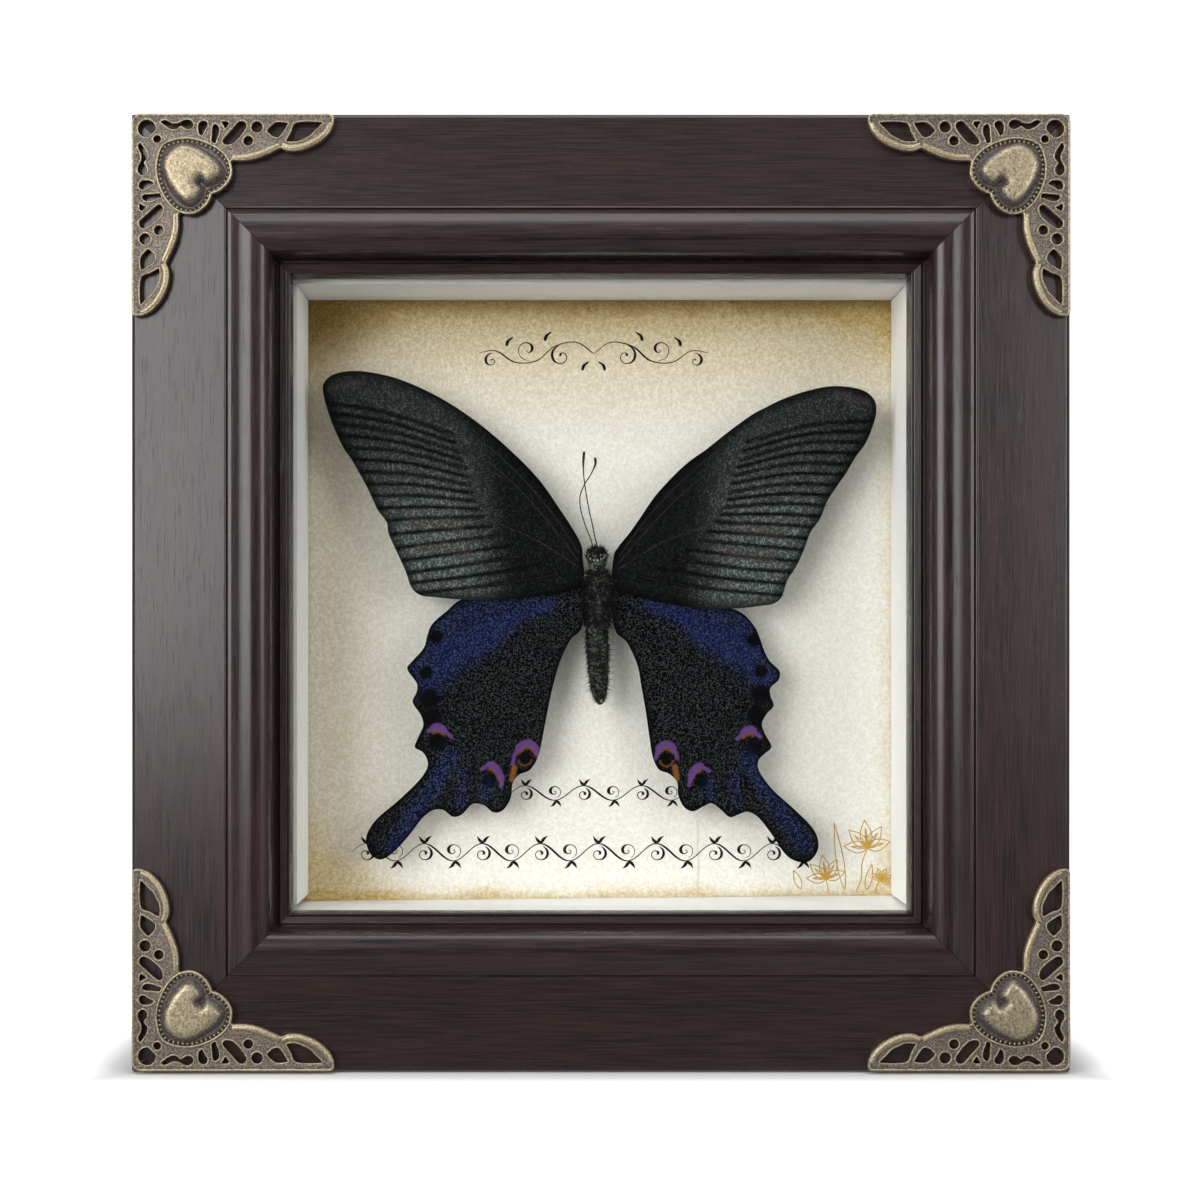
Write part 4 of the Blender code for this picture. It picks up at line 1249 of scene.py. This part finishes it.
def make_bristles():
    """Tapered hairs scattered over a surface, each leaning off its normal by its own amount."""
    kinds = {"density": "Float", "length": "Float", "thick": "Float", "lean": "Vector", "seed": "Int"}
    tree = Recipe("bristles", low="Float", high="Float", **kinds)
    seed = tree.given("seed")
    z = tree.parts(tree.node("GeometryNodeInputPosition"))[2]
    above = tree.node("ShaderNodeMath", {"operation": "GREATER_THAN"}, {0: z, 1: tree.given("low")})
    below = tree.node("ShaderNodeMath", {"operation": "LESS_THAN"}, {0: z, 1: tree.given("high")})
    density = tree.given("density") * above * below
    inputs = {"Mesh": tree.given("carrier"), "Density": density, "Seed": seed}
    points = tree.node("GeometryNodeDistributePointsOnFaces", None, inputs)
    normal = Value(tree, points.socket.node.outputs["Normal"])
    vector = {"data_type": "FLOAT_VECTOR"}
    stray = tree.node("FunctionNodeRandomValue", vector, {0: (-0.45,) * 3, 1: (0.45,) * 3, "Seed": seed})
    way = tree.vector("ADD", tree.vector("ADD", normal, tree.given("lean")), stray)
    turn = tree.node("FunctionNodeAlignRotationToVector", {"axis": "Z"}, {"Vector": way})
    number = {"data_type": "FLOAT"}
    vary = tree.node("FunctionNodeRandomValue", number, {2: 0.45, 3: 1.25, "Seed": seed}, output=1)
    thick = tree.given("thick")
    size = tree.joined(thick, thick, tree.given("length") * vary)
    cone = {"Vertices": 4, "Radius Top": 0.12, "Radius Bottom": 1.0, "Depth": 1.0}
    hair = tree.node("GeometryNodeMeshCone", None, cone)
    inputs = {"Points": points, "Instance": hair, "Rotation": turn, "Scale": size}
    tree.end(tree.node("GeometryNodeInstanceOnPoints", None, inputs))
    return tree


def beads(places):
    """Small oval beads, each as (x, how far behind the body's middle, z, half sizes)."""
    bm = bmesh.new()
    for x, behind, z, sizes in places:
        place = Matrix.Translation(Vector(at(x, BODY_DEPTH + behind, z)))
        scale = Matrix.Diagonal((*(size * METRES for size in sizes), 1.0))
        bmesh.ops.create_icosphere(bm, subdivisions=3, radius=1.0, matrix=place @ scale)
    mesh = bpy.data.meshes.new("beads")
    bm.to_mesh(mesh)
    bm.free()
    return smooth(mesh, 60)


def add_body():
    """The body with its coats of hair, its eyes, the pale dots on its head and its tan tip."""
    chitin = insect_finish("abdomen_skin", (0.0030, 0.0035, 0.0030), (0.105, 0.120, 0.100), 0.6)
    black_hair = insect_finish("black_hairs", (0.0020, 0.0019, 0.0019), (0.040, 0.039, 0.037), 0.5)
    grey_hair = insect_finish("grey_hairs", (0.012, 0.014, 0.012), (0.130, 0.135, 0.110), 0.6)
    eye_skin = insect_finish("eye_skin", (0.004, 0.0035, 0.0035), (0.010, 0.008, 0.007), 0.10, 0.6)
    body = body_mesh()
    add_piece("butterfly_body", smooth(body, 60), chitin, "body_hairs", "insect_body")
    bristles = make_bristles()
    for order, (name, coat) in enumerate(COATS.items()):
        low, high, per_square, length, thick, lean = coat
        finish = grey_hair if name == "stray" else black_hair
        sizes = in_metres({"low": low, "high": high, "length": length, "thick": thick})
        given = {"density": per_square / METRES**2, "lean": lean, "seed": SEED + order}
        mesh = bristles.make(body.copy(), finish, **given, **sizes)
        add_piece(name + "_bristles", mesh, finish, "body_hairs")
    pale_skin = insect_finish("pale_dots", (0.42, 0.43, 0.42), (0.60, 0.60, 0.58), 0.5)
    tan_skin = insect_finish("tan_tip", (0.30, 0.20, 0.13), (0.50, 0.38, 0.28), 0.6)
    eyes = [(side * 1.75 + BODY_X, -0.9, 111.0, EYE_SIZE) for side in (-1, 1)]
    add_piece("eyes", beads(eyes), eye_skin, "body_hairs")
    dots = [(x + BODY_X, -2.1 + 0.25 * abs(x), z, DOT_SIZE) for x, z in HEAD_DOTS]
    add_piece("head_dots", beads(dots), pale_skin, "body_hairs")
    add_piece("abdomen_tip", beads([ABDOMEN_TIP]), tan_skin, "body_hairs")


# Each antenna's route is (x, depth, z) from the head out.
ANTENNAE = {
    "antenna_left": [
        (-1.3, 24.9, 113.0), (-1.9, 24.9, 115.2), (-2.8, 24.8, 117.4), (-4.0, 24.6, 121.3),
        (-4.2, 24.5, 124.4), (-3.3, 24.4, 127.0), (-1.9, 24.3, 129.2), (-0.8, 24.2, 131.6),
        (-0.8, 24.1, 133.2),
    ],
    "antenna_right": [
        (-0.2, 23.9, 112.6), (-0.9, 23.8, 115.4), (-1.5, 23.7, 118.4), (-2.3, 23.5, 121.9),
        (-3.2, 23.2, 127.4), (-3.5, 22.9, 131.2), (-3.3, 22.7, 134.4),
    ],
}
ANTENNA_ROOT_Z = 110.8
STALK_RADIUS, CLUB_SWELL = 0.13, 0.17


def add_antennae():
    """Two thin ringed feelers that thicken into a club at the tip."""
    skin = insect_finish("antenna_skin", (0.007, 0.006, 0.006), (0.03, 0.025, 0.022), 0.4)
    for name, route in ANTENNAE.items():
        first_x, first_depth, _ = route[0]
        path = flowing([(first_x, first_depth + 0.6, ANTENNA_ROOT_Z), *route], 10)
        to_tip = np.linspace(1.0, 0.0, len(path))
        club = step(to_tip, 0.20, 0.06) * step(to_tip, -0.02, 0.02)
        ringed = 1 + 0.12 * np.cos(np.arange(len(path)) * 2.1)
        radius = (STALK_RADIUS + CLUB_SWELL * club) * ringed
        mesh = swept([(at(*path.T), radius)], skin, sides=8)
        add_piece(name + "_stalk", mesh, skin, "antennae", name)


# Printing on the paper --------------------------------------------------------------------------

PRINT_DEPTH = PAPER_DEPTH - 0.03
TOP_LINE = [
    (0.0, 158.0), (4.0, 160.6), (9.0, 159.6), (13.0, 156.4), (18.0, 156.0), (22.4, 158.6), (26.2, 158.2),
]
TOP_CURLS = ((7.4, 157.4, 2.5, 80, -1.2), (15.2, 158.9, 2.5, -100, 1.2), (23.4, 156.4, 1.7, 100, -1.1))
TOP_DABS = ((2.2, 155.2), (10.8, 162.0), (19.6, 160.8))
TOP_MIDDLE = -1.0
SCROLL_ROWS = ((-20.0, 20.0, 57.2, 5.6, 3), (-56.5, 50.0, 43.6, 6.6, 8))
BLOOMS = ((61.8, 44.6, 6.4, 96), (52.4, 37.6, 5.4, 100), (64.8, 37.2, 3.0, 62))
STALKS = [
    [(61.8, 44.6), (60.6, 41.0), (60.4, 37.5), (59.2, 34.4)],
    [(64.8, 37.2), (64.0, 36.0), (63.6, 34.4)],
    [(52.4, 37.6), (52.6, 36.0), (53.0, 34.4)],
]
BLADES = ((56.6, 35.0, 15.5, 1.7, 99), (61.6, 35.0, 6.0, 1.5, 78), (46.6, 35.2, 4.6, 1.5, 112))


def pen(path, thin, thick):
    """A pen stroke: thick where it runs down the sheet, and thin where it runs up or across."""
    path = np.asarray(path, float)
    along = np.gradient(path, axis=0)
    along /= np.hypot(along[:, 0], along[:, 1])[:, None] + 1e-9
    press = np.clip(-along[:, 1], 0.0, 1.0) ** 1.6
    end = np.sin(np.pi * np.linspace(0.0, 1.0, len(path))) ** 0.35
    return at(path[:, 0], PRINT_DEPTH, path[:, 1]), (thin + (thick - thin) * press) * (0.35 + 0.65 * end)


def curl(x, z, radius, start, turns, flat=1.0):
    """A spiral that winds in to its middle; negative turns wind the other way."""
    share = np.linspace(0.0, 1.0, 36)
    turn = math.radians(start) + share * turns * 2 * math.pi
    size = radius * (1 - share) ** 0.8
    return np.stack([x + size * np.cos(turn), z + size * np.sin(turn) * flat], axis=1)


def leaf_stroke(x, z, length, angle):
    """A teardrop dab of the pen, fat where it starts."""
    share = np.linspace(0.0, 1.0, 9)
    turn = math.radians(angle)
    bow = 0.12 * length * np.sin(np.pi * share)
    out, up = share * length, bow
    path_x = x + out * math.cos(turn) - up * math.sin(turn)
    path_z = z + out * math.sin(turn) + up * math.cos(turn)
    return at(path_x, PRINT_DEPTH, path_z), 0.06 + 0.17 * length * np.sin(np.pi * share**0.6)


def running_scroll(low, high, z, height, waves):
    """A waving stem with a curl in each hollow and a pair of leaf dabs on each crest."""
    share = np.linspace(0.0, 1.0, waves * 30 + 1)
    swing = share * waves * 2 * np.pi
    stem = np.stack([low + (high - low) * share, z + 0.30 * height * np.sin(swing)], axis=1)
    strokes = [pen(stem, 0.14, 0.40)]
    pitch = (high - low) / waves
    for i in range(waves * 2):
        side = -1 if i % 2 else 1
        crest = low + (i + 0.5) * pitch / 2
        radius = height * 0.29
        hollow = (crest, z - side * height * 0.06)
        strokes.append(pen(curl(*hollow, radius, 70 * side, -1.35 * side, 0.95), 0.12, 0.42))
        for turn, length in ((48, 0.32), (132, 0.32)):
            strokes.append(leaf_stroke(crest + 0.3, z + side * height * 0.32, height * length, turn * side))
    return strokes


def top_ornament():
    """Two mirrored stems with curls and dabs of the pen on each side of the middle."""
    strokes = []
    for side in (-1, 1):
        line = flowing(TOP_LINE, 10) * (side, 1) + (TOP_MIDDLE, 0.0)
        strokes.append(pen(line if side > 0 else line[::-1], 0.13, 0.34))
        for x, z, radius, start, turns in TOP_CURLS:
            path = curl(0.0, 0.0, radius, start, turns) * (side, 1) + (TOP_MIDDLE + side * x, z)
            strokes.append(pen(path, 0.12, 0.38))
        for x, z in TOP_DABS:
            path = flowing([(x - 1.1, z + 0.9), (x, z + 0.1), (x + 0.4, z - 1.1)], 6)
            strokes.append(pen(path * (side, 1) + (TOP_MIDDLE, 0.0), 0.16, 0.46))
    return strokes


def add_flourishes():
    """Pen scrollwork: one ornament above the insect and two running rows below it."""
    ink = ink_finish("black_ink", (0.006, 0.005, 0.006), 0.7)
    strokes = top_ornament()
    for row in SCROLL_ROWS:
        strokes += running_scroll(*row)
    mesh = swept(strokes, ink, sides=6, depth=PRINT_DEPTH, flatness=0.12)
    add_piece("ink_flourishes", mesh, ink, "aged_paper")


def petal(x, z, length, width, angle):
    """The outline of a pointed petal or leaf growing from a point."""
    share = np.linspace(0.0, 1.0, 17)
    half = width / 2 * np.sin(np.pi * share**0.8)
    out = np.stack([length * share, half], axis=1)
    back = np.stack([length * share, -half], axis=1)[::-1]
    turn = math.radians(angle)
    spin = np.array([[math.cos(turn), math.sin(turn)], [-math.sin(turn), math.cos(turn)]])
    return np.concatenate([out, back]) @ spin + (x, z)


def add_flowers():
    """Golden line-drawn blooms and blades of grass in the sheet's lower right corner."""
    gold = ink_finish("golden_line", (0.50, 0.29, 0.045), 0.7)
    paths = []
    for x, z, size, lean in BLOOMS:
        for fan in (-2, -1, 0, 1, 2):
            angle = lean + fan * 40
            reach = size * (1.0 - 0.08 * abs(fan))
            paths.append(petal(x, z, reach, size * 0.42, angle))
            paths.append(petal(x, z, reach * 0.7, size * 0.08, angle))
        for fan in (-1, 0, 1):
            angle = math.radians(lean + fan * 22)
            tip = (x + size * 0.45 * math.cos(angle), z + size * 0.45 * math.sin(angle))
            paths.append(np.array([(x, z), tip]))
    paths += [flowing(stalk, 6) for stalk in STALKS]
    paths += [petal(*blade) for blade in BLADES]
    strokes = [(at(path[:, 0], PRINT_DEPTH, path[:, 1]), 0.13) for path in paths]
    mesh = swept(strokes, gold, sides=6, depth=PRINT_DEPTH, flatness=0.2)
    add_piece("golden_flowers", mesh, gold, "aged_paper")


# Plain CAD pieces -------------------------------------------------------------------------------


def dress_nodes():
    """Gives the CAD pieces that are kept as they are their finishes."""
    bright = steel_finish("bright_steel", (0.62, 0.61, 0.60), 0.28)
    finishes = {
        "glass_pane": glass_finish(),
        "backing_paper": paper_finish(),
        "mount_board": board_finish("grey_board", (0.52, 0.49, 0.43), (0.40, 0.37, 0.32), 2.5),
        "back_panel": board_finish("hardboard", (0.30, 0.17, 0.085), (0.17, 0.09, 0.045), 3.5, 0.6),
        "sawtooth_hanger": steel_finish("hanger_brass", (0.74, 0.56, 0.28), 0.32),
        "mounting_pad": board_finish("pad_foam", (0.80, 0.79, 0.74), (0.66, 0.64, 0.58), 4.0, 0.9),
    }
    liner = board_finish("liner_board", (0.93, 0.925, 0.91), (0.89, 0.88, 0.86), 3.0, 0.72)
    for node, piece in frame["nodes"].items():
        if piece.hide_render:
            continue
        if node.startswith("liner_"):
            finish = liner
        elif node.startswith(("framers_point", "hanger_nail")):
            finish = bright
        else:
            finish = finishes[node]
        piece.material_slots[0].material = finish


# Studio -----------------------------------------------------------------------------------------


CAMERA_PLACE = (-8.7, -439.25, 87.7)
CAMERA_SHIFT = (0.0333, 0.05)
# Each light is its place in metres, its size in metres and its power in watts.
SOFTBOXES = {
    "left_softbox": ((-0.60, -0.82, 0.32), (0.62, 0.60), 6.1),
    "right_softbox": ((0.66, -0.72, 0.30), (0.34, 0.50), 2.2),
    "top_softbox": ((0.0, -0.25, 1.10), (0.9, 0.7), 5.0),
}
LIGHT_TARGET = (0.0, 0.0, 0.10)
FLOOR_DROP = 0.0002
SHADOW_REACH = 20.0


def add_camera():
    """A level camera in front, a little left of the middle."""
    camera = bpy.data.cameras.new("camera")
    camera.lens = 59.2
    camera.sensor_width = 36.0
    camera.shift_x, camera.shift_y = CAMERA_SHIFT
    camera.clip_start = 0.01
    made = bpy.data.objects.new("camera", camera)
    made.location = tuple(part * METRES for part in CAMERA_PLACE)
    made.rotation_euler = (math.pi / 2, 0.0, 0.0)
    bpy.context.scene.collection.objects.link(made)
    bpy.context.scene.camera = made


def add_light(name, place, size, power):
    """A softbox that faces the object."""
    lamp = bpy.data.lights.new(name, "AREA")
    lamp.shape = "RECTANGLE"
    lamp.size, lamp.size_y = size
    lamp.energy = power
    made = bpy.data.objects.new(name, lamp)
    made.location = place
    aim = Vector(LIGHT_TARGET) - Vector(place)
    made.rotation_euler = aim.to_track_quat("-Z", "Y").to_euler()
    bpy.context.scene.collection.objects.link(made)


def add_studio():
    """Softboxes and a white floor that glows except close round the frame, where its shadow lies."""
    for name, light in SOFTBOXES.items():
        add_light(name, *light)
    bpy.ops.mesh.primitive_plane_add(size=6.0, location=(0.0, 0.0, -FLOOR_DROP))
    floor = bpy.context.active_object
    floor.name = "floor"
    paint = Finish("white_floor")
    away = (abs(paint.x) - HALF_WIDTH).most(-paint.depth).most(paint.depth - RAIL_DEPTH)
    glow = paint.blend(away.ramp(0.0, SHADOW_REACH), (0.0, 0.0, 0.0), (1.0, 1.0, 1.0))
    paper_white = {"Base_Color": (0.86, 0.86, 0.86), "Roughness": 0.9, "Emission_Color": glow}
    floor.data.materials.append(paint.shade(**paper_white, Emission_Strength=1.0))
    floor.visible_glossy = False
    floor.visible_transmission = False
    floor.visible_diffuse = False
    add_world()
    bpy.context.scene.view_settings.view_transform = "Standard"


def add_world():
    """A white surround, dim as a light, with a dark patch where the glass faces and a glow above it."""
    world = bpy.data.worlds.new("studio")
    world.use_nodes = True
    bpy.context.scene.world = world
    sky = Graph(world.node_tree)
    seen = sky.node("ShaderNodeLightPath", output="Is Camera Ray")
    _, inward, up = sky.parts(sky.node("ShaderNodeTexCoord", output="Generated"))
    forward = -inward
    surround = forward.ramp(0.974, 0.86) * 0.34
    above = up.ramp(0.194, 0.236) * forward.ramp(0.90, 0.95) * 0.50
    dim = 0.012 + surround + above
    background = world.node_tree.nodes["Background"]
    sky.feed(background.inputs["Color"], (1.0, 1.0, 1.0))
    sky.feed(background.inputs["Strength"], dim + seen * (1.1 - dim))


add_camera()
add_rails()
add_brackets()
add_wings()
add_body()
add_antennae()
add_flourishes()
add_flowers()
dress_nodes()
add_studio()

bpy.context.view_layer.update()
